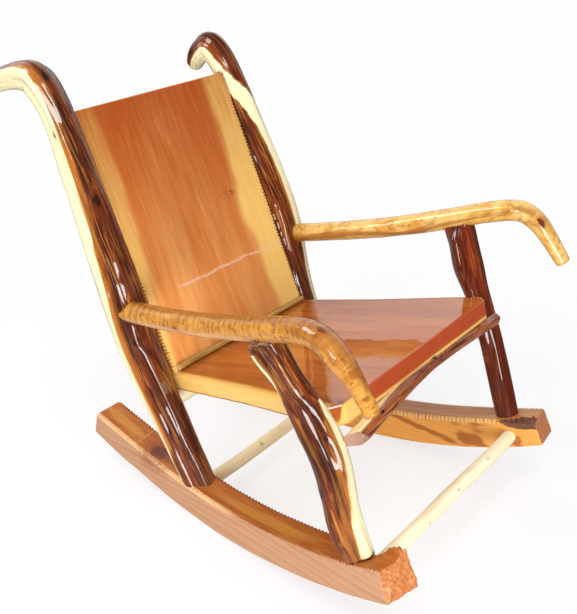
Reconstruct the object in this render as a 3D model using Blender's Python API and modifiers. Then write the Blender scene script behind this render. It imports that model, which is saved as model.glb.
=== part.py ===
"""Rustic rocking chair: peeled, varnished branches carry a plank seat and a plank back on two sawn rockers.

Metres, +Z up. The chair faces -Y, the sitter's right is -X, and it stands on z = 0 where its rockers roll.
Lengths along the chair are measured from the floor contact, and the whole chair is then centred on its box.
"""

import math

import bmesh
import bpy
from mathutils import Matrix, Vector

# Fits
CLEARANCE = 0.0003
EASE = 0.003

# Rockers: sawn arcs under the posts, so that they stand closer together at the rear
ROCKER_RADIUS = 1.27
ROCKER_FRONT = 0.556
ROCKER_REAR = 0.388
ROCKER_WIDTH = 0.072
ROCKER_DEPTH = 0.081
ROCKER_FRONT_DEPTH = 0.062
ROCKER_REAR_DEPTH = 0.052
ROCKER_OUT_FRONT = 0.0097
ROCKER_OUT_REAR = 0.0222
ROCKER_FLAT = 0.044

# Seat board
SEAT_TILT = math.radians(14.9)
SEAT_HEIGHT = 0.452
SEAT_FRONT = 0.378
SEAT_DEPTH = 0.525
SEAT_FRONT_WIDTH = 0.596
SEAT_REAR_WIDTH = 0.462
SEAT_THICKNESS = 0.044
SEAT_CORNER = 0.022
SEAT_EDGE = 0.0035
SEAT_WANE = 0.004
SEAT_BITE = 0.003

# Back panel
PANEL_RAKE = math.radians(25.0)
PANEL_FOOT = 0.106
PANEL_HEIGHT = 0.598
PANEL_TOP_WIDTH = 0.475
PANEL_FOOT_WIDTH = 0.462
PANEL_THICKNESS = 0.028
TOOTH_PITCH = 0.0095
TOOTH_DEPTH = 0.0026
TOOTH_MARGIN = 0.045
PANEL_BITE = 0.003

# Back posts: height, how far the axis lies behind the panel's face, and radius
BACK_POST_FOOT = 0.029
BACK_POST_FOOT_RADIUS = 0.033
BACK_POST_STATIONS = (
    (0.357, 0.040, 0.040),
    (0.450, 0.028, 0.043),
    (0.540, 0.016, 0.0430),
    (0.707, 0.012, 0.0375),
    (0.860, 0.014, 0.0325),
)
# Hooked tops: behind and above the panel's top edge, and radius
BACK_POST_HOOKS = {
    "right": ((0.066, 0.063, 0.034), (0.108, 0.071, 0.030), (0.160, 0.061, 0.025), (0.240, 0.036, 0.021)),
    "left": ((0.060, 0.055, 0.035), (0.090, 0.047, 0.030), (0.114, 0.020, 0.024), (0.128, -0.010, 0.017)),
}
BACK_POST_TWIST = {"right": 1.1, "left": -2.0}

# Arms: branches that end in a drooping grip
ARM_REAR_HEIGHT = 0.468
ARM_FRONT_HEIGHT = 0.600
ARM_REAR_SIDE = 0.010
ARM_FRONT_OUT = 0.0545
ARM_RADIUS = 0.0235
ARM_TIP_RADIUS = {"right": 0.0125, "left": 0.016}
ARM_SAG = 0.008
# Grip: ahead of the front post, and above the arm's height there
ARM_GRIPS = {
    "right": ((0.085, 0.030), (0.135, 0.034), (0.178, 0.014), (0.212, -0.020), (0.246, -0.068)),
    "left": ((0.060, 0.022), (0.118, 0.038), (0.150, 0.036), (0.184, 0.008), (0.240, -0.064)),
}

# Front posts: shares of the way from foot to top, with the bow to the front and the radius there
FRONT_POST_FOOT = 0.449
FRONT_POST_FOOT_OUT = 0.003
FRONT_POST_TOP = 0.257
FRONT_POST_SHARES = {"shin": 0.19, "knee": 0.43, "seat": 0.66, "neck": 0.83}
FRONT_POST_BOWS = {
    "right": {"shin": 0.001, "knee": 0.016, "seat": 0.006, "neck": 0.004},
    "left": {"shin": 0.007, "knee": 0.015, "seat": 0.016, "neck": 0.010},
}
FRONT_POST_RADII = {
    "right": {"shin": 0.0300, "knee": 0.0335, "seat": 0.0330, "neck": 0.0265},
    "left": {"shin": 0.0260, "knee": 0.0260, "seat": 0.0270, "neck": 0.0295},
}
FRONT_POST_FOOT_RADIUS = {"right": 0.0265, "left": 0.0250}
FRONT_POST_TOP_RADIUS = {"right": 0.0305, "left": 0.0325}
ARM_SADDLE = 0.006

# Front rail: shares of the seat's half width, then ahead of and below its lower front edge, and radius
FRONT_RAIL_SHARES = (-1.107, 0.067, 1.094)
FRONT_RAIL_STATIONS = ((0.030, 0.017, 0.0160), (-0.007, 0.0115, 0.0140), (-0.004, 0.022, 0.0145))
FRONT_RAIL_END_SHARE = -0.963
FRONT_RAIL_SAW = (-0.74, -0.50, 0.44)

# Other cross pieces: radii, places, and how far a round end enters what holds it
REAR_RAIL_RADIUS = 0.018
REAR_RAIL_PLACE = 0.104
STRETCHER_RADIUS = 0.0160
FRONT_STRETCHER_PLACE = 0.476
REAR_STRETCHER_PLACE = -0.045
STRETCHER_RISE = 0.045
TENON = 0.022
BATTEN_RADIUS = 0.0075

# Fasteners that hold the joints, all of them hidden
DOWEL_RADIUS = 0.006
DOWEL_LENGTH = 0.052
PANEL_DOWEL_SHARES = (0.23, 0.50, 0.77)
LAG_RADIUS = 0.004
LAG_HEAD_RADIUS = 0.008
LAG_HEAD_HEIGHT = 0.006
LAG_GRIP = 0.050
LAG_SUNK = 0.012
SEAT_SCREW_RADIUS = 0.0025
SEAT_SCREW_HEAD = 0.005
SEAT_SCREW_SHARE = 0.52
RAIL_SCREW_SHARES = (0.07, 0.74)
SEAT_SCREW_GRIP = 0.024

# Facets
BRANCH_STEP = 0.030
BRANCH_SIDES = 12
POST_LOBES = ((2, 0.06, 0.4), (3, 0.085, 1.1), (5, 0.055, 0.0))
ROUND_STEPS = 10

SIDES = (("right", -1), ("left", 1))
COLORS = {
    "heartwood": (0.16, 0.045, 0.016, 1.0),
    "plank": (0.56, 0.21, 0.06, 1.0),
    "amber": (0.62, 0.33, 0.08, 1.0),
    "sapwood": (0.82, 0.65, 0.36, 1.0),
    "rocker": (0.55, 0.27, 0.10, 1.0),
    "steel": (0.55, 0.55, 0.56, 1.0),
}


def clear_scene():
    """Remove whatever the file opened with."""
    for item in list(bpy.data.objects):
        bpy.data.objects.remove(item, do_unlink=True)


def collection(name):
    """Make a collection in the scene."""
    made = bpy.data.collections.new(name)
    bpy.context.scene.collection.children.link(made)
    return made


def material(name, color, roughness=0.25, metallic=0.0):
    """Make a plain finish."""
    made = bpy.data.materials.new(name)
    made.use_nodes = True
    shader = made.node_tree.nodes["Principled BSDF"]
    shader.inputs["Base Color"].default_value = color
    shader.inputs["Roughness"].default_value = roughness
    shader.inputs["Metallic"].default_value = metallic
    return made


def finish_part(obj, finish, smooth=True):
    """Put a finished piece in the chair, with its own finish."""
    color = COLORS[finish]
    metallic = 1.0 if finish == "steel" else 0.0
    obj.data.materials.clear()
    obj.data.materials.append(material(obj.name + "_finish", color, 0.25, metallic))
    if smooth:
        obj.data.shade_smooth()
    CHAIR.objects.link(obj)
    obj.parent = ROOT
    return obj


def finish_cutter(obj):
    """Keep a cutter out of the chair itself."""
    obj.hide_render = True
    obj.display_type = "WIRE"
    CUTTERS.objects.link(obj)
    obj.parent = ROOT
    return obj


def cut(target, cutter):
    """Take the cutter's shape out of the target."""
    tool = target.modifiers.new(cutter.name, "BOOLEAN")
    tool.operation = "DIFFERENCE"
    tool.solver = "EXACT"
    tool.object = cutter


def mesh_of(curve_object):
    """Turn a curve into a closed mesh object of the same name and place."""
    name = curve_object.name
    CUTTERS.objects.link(curve_object)
    bpy.context.view_layer.update()
    depsgraph = bpy.context.evaluated_depsgraph_get()
    mesh = bpy.data.meshes.new_from_object(curve_object.evaluated_get(depsgraph))
    place = curve_object.matrix_world.copy()
    bpy.data.objects.remove(curve_object, do_unlink=True)
    shape = bmesh.new()
    shape.from_mesh(mesh)
    bmesh.ops.remove_doubles(shape, verts=shape.verts, dist=0.00002)
    quads = [face for face in shape.faces if len(face.verts) == 4]
    bmesh.ops.triangulate(shape, faces=quads, quad_method="FIXED")
    bmesh.ops.recalc_face_normals(shape, faces=shape.faces)
    shape.to_mesh(mesh)
    shape.free()
    made = bpy.data.objects.new(name, mesh)
    made.matrix_world = place
    return made


def smooth_route(stations, step):
    """Points about one step apart on a smooth curve through stations of x, y, z and radius."""
    points = [Vector(station) for station in stations]
    ends = [2 * points[0] - points[1]] + points + [2 * points[-1] - points[-2]]
    route = []
    for a, b, c, d in zip(ends, ends[1:], ends[2:], ends[3:]):
        count = max(2, round((c - b).to_3d().length / step))
        for index in range(count):
            t = index / count
            along = 2 * b + (c - a) * t + (2 * a - 5 * b + 4 * c - d) * t**2 + (3 * b - a - 3 * c + d) * t**3
            route.append(along / 2)
    route.append(points[-1])
    return route


def lobed_profile(lobes):
    """A closed unit outline with lobes, for the section of a fluted branch."""
    shape = bpy.data.curves.new("branch_section", "CURVE")
    shape.dimensions = "2D"
    spline = shape.splines.new("POLY")
    count = BRANCH_SIDES if not lobes else BRANCH_SIDES + 4
    spline.points.add(count - 1)
    for index, point in enumerate(spline.points):
        angle = math.tau * index / count
        reach = 1 + sum(size * math.cos(n * angle + phase) for n, size, phase in lobes)
        point.co = (reach * math.cos(angle), reach * math.sin(angle), 0, 1)
    spline.use_cyclic_u = True
    return finish_cutter(bpy.data.objects.new("branch_section", shape))


def branch(name, stations, lobes=(), twist=0.0, grow=0.0, ease=EASE):
    """A tapering branch through stations of x, y, z and radius, with eased ends, grown by a fit."""
    route = smooth_route(stations, BRANCH_STEP)
    for end, near in ((0, 1), (-1, -2)):
        inward = (route[near].to_3d() - route[end].to_3d()).normalized()
        shoulder = Vector((*(route[end].to_3d() + inward * ease), route[end][3]))
        tip = Vector((*(route[end].to_3d() - inward * grow), route[end][3] - 0.8 * ease))
        route[end] = tip
        route.insert(1 if end == 0 else len(route) - 1, shoulder)
    shape = bpy.data.curves.new(name, "CURVE")
    shape.dimensions = "3D"
    shape.bevel_mode = "OBJECT"
    shape.bevel_object = lobed_profile(lobes)
    shape.use_fill_caps = True
    spline = shape.splines.new("POLY")
    spline.points.add(len(route) - 1)
    for index, (point, here) in enumerate(zip(spline.points, route)):
        point.co = (*here.to_3d(), 1)
        point.radius = here[3] + grow
        point.tilt = twist * index / (len(route) - 1)
    return mesh_of(bpy.data.objects.new(name, shape))


def board(name, outline, thickness, place, edge=0.0, segments=1):
    """A flat outline of given thickness, centred on its own plane and set in place."""
    shape = bpy.data.curves.new(name, "CURVE")
    shape.dimensions = "2D"
    shape.fill_mode = "BOTH"
    shape.extrude = thickness / 2
    spline = shape.splines.new("POLY")
    spline.points.add(len(outline) - 1)
    for point, (u, v) in zip(spline.points, outline):
        point.co = (u, v, 0, 1)
    spline.use_cyclic_u = True
    made = bpy.data.objects.new(name, shape)
    made.matrix_world = place
    made = mesh_of(made)
    if edge:
        rounding = made.modifiers.new("eased_edges", "BEVEL")
        rounding.width = edge
        rounding.segments = segments
        rounding.limit_method = "ANGLE"
        rounding.angle_limit = math.radians(50.0)
    return made


def frame(origin, u, v):
    """The placing of a plane with its own axes u and v."""
    w = Vector(u).cross(Vector(v))
    rows = [[Vector(u)[k], Vector(v)[k], w[k], origin[k]] for k in range(3)]
    return Matrix(rows + [[0, 0, 0, 1]])


def turned(name, profile, start, direction):
    """A turned piece: its profile runs down from the start along the direction."""
    mesh = bpy.data.meshes.new(name)
    shape = bmesh.new()
    corners = [shape.verts.new((radius, 0, -depth)) for radius, depth in profile]
    for a, b in zip(corners, corners[1:]):
        shape.edges.new((a, b))
    shape.to_mesh(mesh)
    shape.free()
    made = bpy.data.objects.new(name, mesh)
    spin = made.modifiers.new("turning", "SCREW")
    spin.steps = ROUND_STEPS
    spin.render_steps = ROUND_STEPS
    spin.use_merge_vertices = True
    spin.merge_threshold = 0.00002
    turn = Vector(direction).to_track_quat("-Z", "Y").to_matrix().to_4x4()
    made.matrix_world = Matrix.Translation(start) @ turn
    return made


def dowel(name, middle, direction, holders):
    """A blind wooden dowel, half in each of the two pieces that it joins."""
    direction = Vector(direction).normalized()
    r, length = DOWEL_RADIUS, DOWEL_LENGTH
    start = Vector(middle) - direction * length / 2
    ease = 0.2 * r
    profile = [(0, 0), (r - ease, 0), (r, ease), (r, length - ease), (r - ease, length), (0, length)]
    finish_part(turned(name, profile, start, direction), "sapwood")
    wide, deep = r + CLEARANCE, length + CLEARANCE
    bore = [(0, -CLEARANCE), (wide, -CLEARANCE), (wide, deep), (0, deep)]
    cutter = finish_cutter(turned(name + "_bore", bore, start, direction))
    for holder in holders:
        cut(holder, cutter)


def screw(name, start, direction, length, radius, head_radius, head_height, access, holders):
    """A headed screw that starts below the surface, with its bore open for the driver."""
    direction = Vector(direction).normalized()
    profile = [(0, 0), (head_radius, 0), (head_radius, head_height), (radius, head_height),
               (radius, length - 2 * radius), (radius / 3, length), (0, length)]
    finish_part(turned(name, profile, start, direction), "steel")
    wide, neck = head_radius + CLEARANCE, radius + CLEARANCE
    step, deep = head_height + CLEARANCE, length + CLEARANCE
    bore = [(0, -access), (wide, -access), (wide, step), (neck, step), (neck, deep), (0, deep)]
    cutter = finish_cutter(turned(name + "_bore", bore, start, direction))
    for holder in holders:
        cut(holder, cutter)


def lerp(a, b, t):
    """The value a share t of the way from a to b."""
    return a + (b - a) * t


def rocker_side(y):
    """How far out a rocker's middle line lies at a place along the chair."""
    front = SEAT_FRONT_WIDTH / 2 + ROCKER_OUT_FRONT
    rear = PANEL_FOOT_WIDTH / 2 + ROCKER_OUT_REAR
    return lerp(front, rear, (y + FRONT_POST_FOOT) / (BACK_POST_FOOT + FRONT_POST_FOOT))


def rocker_toe():
    """The angle by which a rocker turns in towards the rear."""
    return math.atan(rocker_side(0) - rocker_side(1))


def rocker_angles():
    """Angles of the arc's corners, with one flat facet centred on the floor contact."""
    step = 2 * math.asin(ROCKER_FLAT / 2 / ROCKER_RADIUS)
    first = -math.asin(ROCKER_FRONT / ROCKER_RADIUS)
    last = math.asin(ROCKER_REAR / ROCKER_RADIUS)
    lowest = math.ceil(first / step - 0.5) + 1
    highest = math.floor(last / step - 0.5)
    return [first] + [(k + 0.5) * step for k in range(lowest, highest)] + [last]


def rocker_depth(angle):
    """Depth of the sawn arc, full along the middle and thinner at both ends."""
    first = -math.asin(ROCKER_FRONT / ROCKER_RADIUS)
    last = math.asin(ROCKER_REAR / ROCKER_RADIUS)
    middle = (first + last) / 2
    share = (angle - middle) / (last - middle)
    end = ROCKER_REAR_DEPTH if share > 0 else ROCKER_FRONT_DEPTH
    return lerp(ROCKER_DEPTH, end, share**4)


def rocker_point(angle, depth):
    """A point of the rocker's own plane, along and up, at a depth inside the arc."""
    low = ROCKER_RADIUS * math.cos(math.asin(ROCKER_FLAT / 2 / ROCKER_RADIUS))
    inner = ROCKER_RADIUS - depth
    return (inner * math.sin(angle), low - inner * math.cos(angle))


def rocker_top(y):
    """Height of the rocker's upper side at a place along the chair."""
    along = y / math.cos(rocker_toe())
    angle = math.asin(along / (ROCKER_RADIUS - ROCKER_DEPTH))
    return rocker_point(angle, rocker_depth(angle))[1]


def seat_top(y):
    """Height of the seat's upper face at a place along the chair."""
    return SEAT_HEIGHT - (y + SEAT_FRONT) * math.tan(SEAT_TILT)


def seat_half_width(y):
    """Half the seat's width at a place along the chair."""
    share = (y + SEAT_FRONT) / (SEAT_DEPTH * math.cos(SEAT_TILT))
    return lerp(SEAT_FRONT_WIDTH, SEAT_REAR_WIDTH, share) / 2


def panel_point(height):
    """The place along the chair of the panel's front face at a height."""
    return PANEL_FOOT + (height - seat_top(PANEL_FOOT)) * math.tan(PANEL_RAKE)


def panel_half_width(height):
    """Half the panel's width at a height."""
    share = (height - seat_top(PANEL_FOOT)) / (PANEL_HEIGHT * math.cos(PANEL_RAKE))
    return lerp(PANEL_FOOT_WIDTH, PANEL_TOP_WIDTH, min(max(share, 0), 1)) / 2


def rocker_blank(name, side, grow=0.0, width=ROCKER_WIDTH):
    """A rocker's sawn arc of a given width, grown above and below by a fit."""
    angles = rocker_angles()
    bottom = [rocker_point(angle, -grow) for angle in angles]
    top = [rocker_point(angle, rocker_depth(angle) + grow) for angle in angles]
    turn = Matrix.Rotation(side * rocker_toe(), 3, "Z")
    place = frame(Vector((side * rocker_side(0), 0, 0)), turn @ Vector((0, 1, 0)), (0, 0, 1))
    return board(name, bottom + top[::-1], width, place, 0 if grow else EASE)


def back_post_stations(name, side):
    """The axis of a back post, from its foot on the rocker to its hooked top."""
    out = rocker_side(BACK_POST_FOOT)
    foot = (side * out, BACK_POST_FOOT, rocker_top(BACK_POST_FOOT), BACK_POST_FOOT_RADIUS)
    upper = []
    for height, setback, radius in BACK_POST_STATIONS:
        out = panel_half_width(height) + radius - PANEL_BITE
        upper.append((side * out, panel_point(height) + setback, height, radius))
    top = seat_top(PANEL_FOOT) + PANEL_HEIGHT * math.cos(PANEL_RAKE)
    hook = []
    for back, rise, radius in BACK_POST_HOOKS[name]:
        hook.append((upper[-1][0], panel_point(top) + back, top + rise, radius))
    knee = Vector(foot).lerp(Vector(upper[0]), 0.45)
    sunk = Vector(foot) + (Vector(foot) - knee) * 0.15
    sunk[3] = BACK_POST_FOOT_RADIUS
    return [sunk, knee] + upper + hook


def along_post(stations, height):
    """The point of a branch's axis at a height, with its radius, between its stations."""
    for a, b in zip(stations, stations[1:]):
        if a[2] <= height <= b[2]:
            return Vector(a).lerp(Vector(b), (height - a[2]) / (b[2] - a[2]))
    return Vector(stations[-1])


def arm_stations(name, side):
    """The axis of an arm, from the front of its back post over the front post to the drooping grip."""
    post = along_post(back_post_stations(name, side), ARM_REAR_HEIGHT)
    rear = Vector((post.x + side * ARM_REAR_SIDE, post.y, ARM_REAR_HEIGHT, ARM_RADIUS))
    out = SEAT_FRONT_WIDTH / 2 + ARM_FRONT_OUT
    front = Vector((side * out, -FRONT_POST_TOP, ARM_FRONT_HEIGHT, ARM_RADIUS))
    flare = (front.x - rear.x) / (rear.y - front.y)
    sag = Vector((0, 0, -ARM_SAG, 0))
    grip = [front + Vector((ahead * flare, -ahead, rise, 0)) for ahead, rise in ARM_GRIPS[name]]
    grip[-1][3] = ARM_TIP_RADIUS[name]
    grip[-2][3] = lerp(ARM_RADIUS, ARM_TIP_RADIUS[name], 0.35)
    return [rear, rear.lerp(front, 0.35) + sag, rear.lerp(front, 0.7) + sag, front] + grip


def front_post_ends(name, side):
    """The foot of a front post on its rocker, and its top under the arm."""
    out = rocker_side(-FRONT_POST_FOOT) + FRONT_POST_FOOT_OUT
    foot = Vector((side * out, -FRONT_POST_FOOT, rocker_top(-FRONT_POST_FOOT), FRONT_POST_FOOT_RADIUS[name]))
    arm = arm_stations(name, side)[3]
    top = arm.copy()
    top.z = arm.z - ARM_RADIUS + ARM_SADDLE
    top[3] = FRONT_POST_TOP_RADIUS[name]
    return foot, top


def front_post_stations(name, side):
    """The axis of a front post, bowed to the front from foot to top, and against the seat's edge."""
    foot, top = front_post_ends(name, side)

    spots = {}
    for spot, share in FRONT_POST_SHARES.items():
        spots[spot] = foot.lerp(top, share)
        spots[spot].y -= FRONT_POST_BOWS[name][spot]
        spots[spot][3] = FRONT_POST_RADII[name][spot]
    held = spots["seat"]
    held.x = side * (seat_half_width(held.y) + held[3] - SEAT_BITE)
    for spot, below, above in (("shin", foot, held), ("knee", foot, held), ("neck", held, top)):
        spots[spot].x = lerp(below.x, above.x, (spots[spot].z - below.z) / (above.z - below.z))
    sunk = foot + (foot - spots["shin"]) * 0.2
    sunk[3] = foot[3]
    return [sunk] + list(spots.values()) + [top]


def seat_blank(name, grow=0.0):
    """The seat plank: clipped front corners and live side edges, before the posts are let in."""
    front, rear = SEAT_FRONT_WIDTH / 2 + grow, SEAT_REAR_WIDTH / 2 + grow
    depth = SEAT_DEPTH + grow
    edge = []
    waves = 8
    for index in range(waves + 1):
        share = index / waves
        wave = SEAT_WANE * math.sin(math.pi * share) * math.cos(5.0 * share + 0.6)
        edge.append((lerp(front, rear, share) + wave, lerp(SEAT_CORNER, depth, share)))
    corner = [(front - SEAT_CORNER, -grow)]
    half = corner + edge
    outline = half + [(-u, v) for u, v in reversed(half)]
    lean = (0, math.cos(SEAT_TILT), -math.sin(SEAT_TILT))
    up = Vector((0, math.sin(SEAT_TILT), math.cos(SEAT_TILT)))
    origin = Vector((0, -SEAT_FRONT, SEAT_HEIGHT)) - up * SEAT_THICKNESS / 2
    thickness = SEAT_THICKNESS + 2 * grow
    return board(name, outline, thickness, frame(origin, (1, 0, 0), lean), 0 if grow else SEAT_EDGE, 2)


def panel_blank(name, sink, grow=0.0, teeth=True):
    """The back plank with its notched side edges, reaching a little into the seat's place."""
    top, foot = PANEL_TOP_WIDTH / 2 + grow, PANEL_FOOT_WIDTH / 2 + grow
    length = PANEL_HEIGHT + grow
    edge = [(foot, -sink)]
    if teeth:
        count = int((PANEL_HEIGHT - 2 * TOOTH_MARGIN) / TOOTH_PITCH)
        for index in range(2 * count + 1):
            rise = TOOTH_MARGIN + index * TOOTH_PITCH / 2
            out = lerp(foot, top, rise / PANEL_HEIGHT) - (index % 2) * TOOTH_DEPTH
            edge.append((out, rise))
    edge.append((top, length))
    outline = edge + [(-u, v) for u, v in reversed(edge)]
    rise = (0, math.sin(PANEL_RAKE), math.cos(PANEL_RAKE))
    back = Vector((0, math.cos(PANEL_RAKE), -math.sin(PANEL_RAKE)))
    origin = Vector((0, PANEL_FOOT, seat_top(PANEL_FOOT))) + back * PANEL_THICKNESS / 2
    return board(name, outline, PANEL_THICKNESS + 2 * grow, frame(origin, (1, 0, 0), rise))


def cross_stations(y, z, half, radius, bend=0.0):
    """A nearly straight cross piece between the two sides of the chair."""
    return [(-half, y, z, radius), (0, y, z + bend, radius), (half, y, z, radius)]


def stretcher_stations(y):
    """A stretcher tenoned into both rockers' inner faces, and a little bowed."""
    half = rocker_side(y) - ROCKER_WIDTH / 2 / math.cos(rocker_toe()) + TENON
    low = rocker_top(y) - STRETCHER_RISE
    return cross_stations(y, low, half, STRETCHER_RADIUS, -0.1 * STRETCHER_RADIUS)


def rear_rail_stations():
    """The rear seat rail, under the seat and tenoned into the back posts."""
    drop = SEAT_THICKNESS + REAR_RAIL_RADIUS + 2 * CLEARANCE
    height = seat_top(REAR_RAIL_PLACE) - drop / math.cos(SEAT_TILT)
    post = along_post(back_post_stations("left", 1), height)
    half = post.x - post[3] + TENON
    return cross_stations(REAR_RAIL_PLACE, height, half, REAR_RAIL_RADIUS)


def front_rail_stations():
    """The front seat rail, under the seat's lower front edge and let into the posts' front sides."""
    edge_y = -SEAT_FRONT - SEAT_THICKNESS * math.sin(SEAT_TILT)
    edge_z = SEAT_HEIGHT - SEAT_THICKNESS * math.cos(SEAT_TILT)
    stations = []
    for share, (ahead, below, radius) in zip(FRONT_RAIL_SHARES, FRONT_RAIL_STATIONS):
        stations.append((share * SEAT_FRONT_WIDTH / 2, edge_y - ahead, edge_z - below, radius))
    return stations


def saw_block(name, point, normal, size):
    """A block that saws a slanting end, standing on the plane through a point."""
    mesh = bpy.data.meshes.new(name)
    shape = bmesh.new()
    bmesh.ops.create_cube(shape, size=size)
    shape.to_mesh(mesh)
    shape.free()
    made = bpy.data.objects.new(name, mesh)
    normal = Vector(normal).normalized()
    turn = normal.to_track_quat("Z", "Y").to_matrix().to_4x4()
    made.matrix_world = Matrix.Translation(Vector(point) + normal * size / 2) @ turn
    return finish_cutter(made)


def axis_at(stations, x):
    """The point of a cross piece's axis at a distance from the chair's middle."""
    for a, b in zip(stations, stations[1:]):
        if a[0] <= x <= b[0]:
            return Vector(a).lerp(Vector(b), (x - a[0]) / (b[0] - a[0]))
    return Vector(stations[-1])


def build_side(name, side, parts):
    """Rocker, posts and arm of one side, coped to each other."""
    rocker = finish_part(rocker_blank(name + "_rocker", side), "rocker", False)
    rocker_fit = finish_cutter(rocker_blank(name + "_rocker_fit", side, CLEARANCE, 2 * ROCKER_WIDTH))

    route = back_post_stations(name, side)
    twist = BACK_POST_TWIST[name]
    back_post = finish_part(branch(name + "_back_post", route, POST_LOBES, twist), "heartwood")
    back_fit = finish_cutter(branch(name + "_back_post_fit", route, POST_LOBES, twist, CLEARANCE))
    cut(back_post, rocker_fit)

    arm_route = arm_stations(name, side)
    arm = finish_part(branch(name + "_arm", arm_route), "amber")
    arm_fit = finish_cutter(branch(name + "_arm_fit", arm_route, (), 0.0, CLEARANCE))
    cut(arm, back_fit)

    front_route = front_post_stations(name, side)
    front_post = finish_part(branch(name + "_front_post", front_route, POST_LOBES[1:], 0.7), "heartwood")
    front_fit = finish_cutter(branch(name + "_front_post_fit", front_route, POST_LOBES[1:], 0.7, CLEARANCE))
    cut(front_post, rocker_fit)
    cut(front_post, arm_fit)

    parts.update({name + "_rocker": rocker, name + "_arm": arm})
    parts.update({name + "_back_post": back_post, name + "_back_fit": back_fit})
    parts.update({name + "_front_post": front_post, name + "_front_fit": front_fit})


def build_planks(parts):
    """Seat and back planks, and the posts' flats that hold the back."""
    seat = finish_part(seat_blank("seat_board"), "plank", False)
    seat_fit = finish_cutter(seat_blank("seat_fit", CLEARANCE))
    panel = finish_part(panel_blank("back_panel", PANEL_THICKNESS), "plank", False)
    panel_fit = finish_cutter(panel_blank("panel_fit", PANEL_THICKNESS, CLEARANCE, False))
    cut(panel, seat_fit)
    for name, _ in SIDES:
        cut(parts[name + "_back_post"], panel_fit)
        cut(seat, parts[name + "_back_fit"])
        cut(seat, parts[name + "_front_fit"])
    parts.update({"seat_board": seat, "back_panel": panel, "seat_fit": seat_fit})


def build_cross_pieces(parts):
    """Stretchers between the rockers, seat rails between the posts, and the batten in the seat's corner."""
    for name, y in (("front_stretcher", -FRONT_STRETCHER_PLACE), ("rear_stretcher", -REAR_STRETCHER_PLACE)):
        route = stretcher_stations(y)
        parts[name] = finish_part(branch(name, route), "sapwood")
        socket = finish_cutter(branch(name + "_fit", route, (), 0.0, CLEARANCE))
        for side_name, _ in SIDES:
            cut(parts[side_name + "_rocker"], socket)

    route = rear_rail_stations()
    parts["rear_seat_rail"] = finish_part(branch("rear_seat_rail", route), "sapwood")
    socket = finish_cutter(branch("rear_seat_rail_fit", route, (), 0.0, CLEARANCE))
    for name, _ in SIDES:
        cut(parts[name + "_back_post"], socket)

    route = front_rail_stations()
    rail = finish_part(branch("front_seat_rail", route, POST_LOBES[1:], 0.5), "heartwood")
    socket = finish_cutter(branch("front_seat_rail_fit", route, POST_LOBES[1:], 0.5, CLEARANCE))
    for name, _ in SIDES:
        cut(parts[name + "_front_post"], socket)
    cut(rail, parts["seat_fit"])
    end = axis_at(smooth_route(route, BRANCH_STEP), FRONT_RAIL_END_SHARE * SEAT_FRONT_WIDTH / 2)
    cut(rail, saw_block("front_rail_saw", end.to_3d(), FRONT_RAIL_SAW, 10 * end[3]))
    parts["front_seat_rail"] = rail

    gap = BATTEN_RADIUS + CLEARANCE
    opening = math.pi / 2 + PANEL_RAKE - SEAT_TILT
    reach = gap / math.tan(opening / 2)
    y = PANEL_FOOT - reach * math.cos(SEAT_TILT) + gap * math.sin(SEAT_TILT)
    z = seat_top(PANEL_FOOT) + reach * math.sin(SEAT_TILT) + gap * math.cos(SEAT_TILT)
    half = PANEL_FOOT_WIDTH / 2 - 2 * EASE
    stick = branch("back_batten", cross_stations(y, z, half, BATTEN_RADIUS), ease=0.001)
    parts["back_batten"] = finish_part(stick, "amber")


def build_dowels(name, side, parts):
    """Blind dowels of one side: arm, panel, seat and front rail."""
    arm = parts[name + "_arm"]
    arm_route = arm_stations(name, side)
    back_route = back_post_stations(name, side)
    back_post = parts[name + "_back_post"]
    front_post = parts[name + "_front_post"]

    post = along_post(back_route, ARM_REAR_HEIGHT)
    run = (arm_route[1] - arm_route[0]).to_3d().normalized()
    joint = arm_route[0].to_3d() + run * post[3]
    dowel(name + "_arm_rear_dowel", joint, run, (arm, back_post))

    foot, top = front_post_ends(name, side)
    rise = (top - front_post_stations(name, side)[-2]).to_3d()
    dowel(name + "_arm_front_dowel", top.to_3d() - rise.normalized() * ARM_SADDLE, rise, (arm, front_post))

    middle = Vector((0, math.cos(PANEL_RAKE), -math.sin(PANEL_RAKE))) * PANEL_THICKNESS / 2
    up = Vector((0, math.sin(PANEL_RAKE), math.cos(PANEL_RAKE)))
    base = Vector((0, PANEL_FOOT, seat_top(PANEL_FOOT))) + middle
    for index, share in enumerate(PANEL_DOWEL_SHARES, 1):
        spot = base + up * share * PANEL_HEIGHT
        spot.x = side * lerp(PANEL_FOOT_WIDTH, PANEL_TOP_WIDTH, share) / 2
        dowel(f"{name}_panel_dowel_{index}", spot, (side, 0, 0), (back_post, parts["back_panel"]))

    route = front_post_stations(name, side)
    height = SEAT_HEIGHT
    for _ in range(4):
        spot = along_post(route, height)
        height = seat_top(spot.y) - SEAT_THICKNESS / 2 / math.cos(SEAT_TILT)
    spot.x = side * seat_half_width(spot.y)
    dowel(name + "_seat_dowel", spot.to_3d(), (side, 0, 0), (front_post, parts["seat_board"]))


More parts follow.
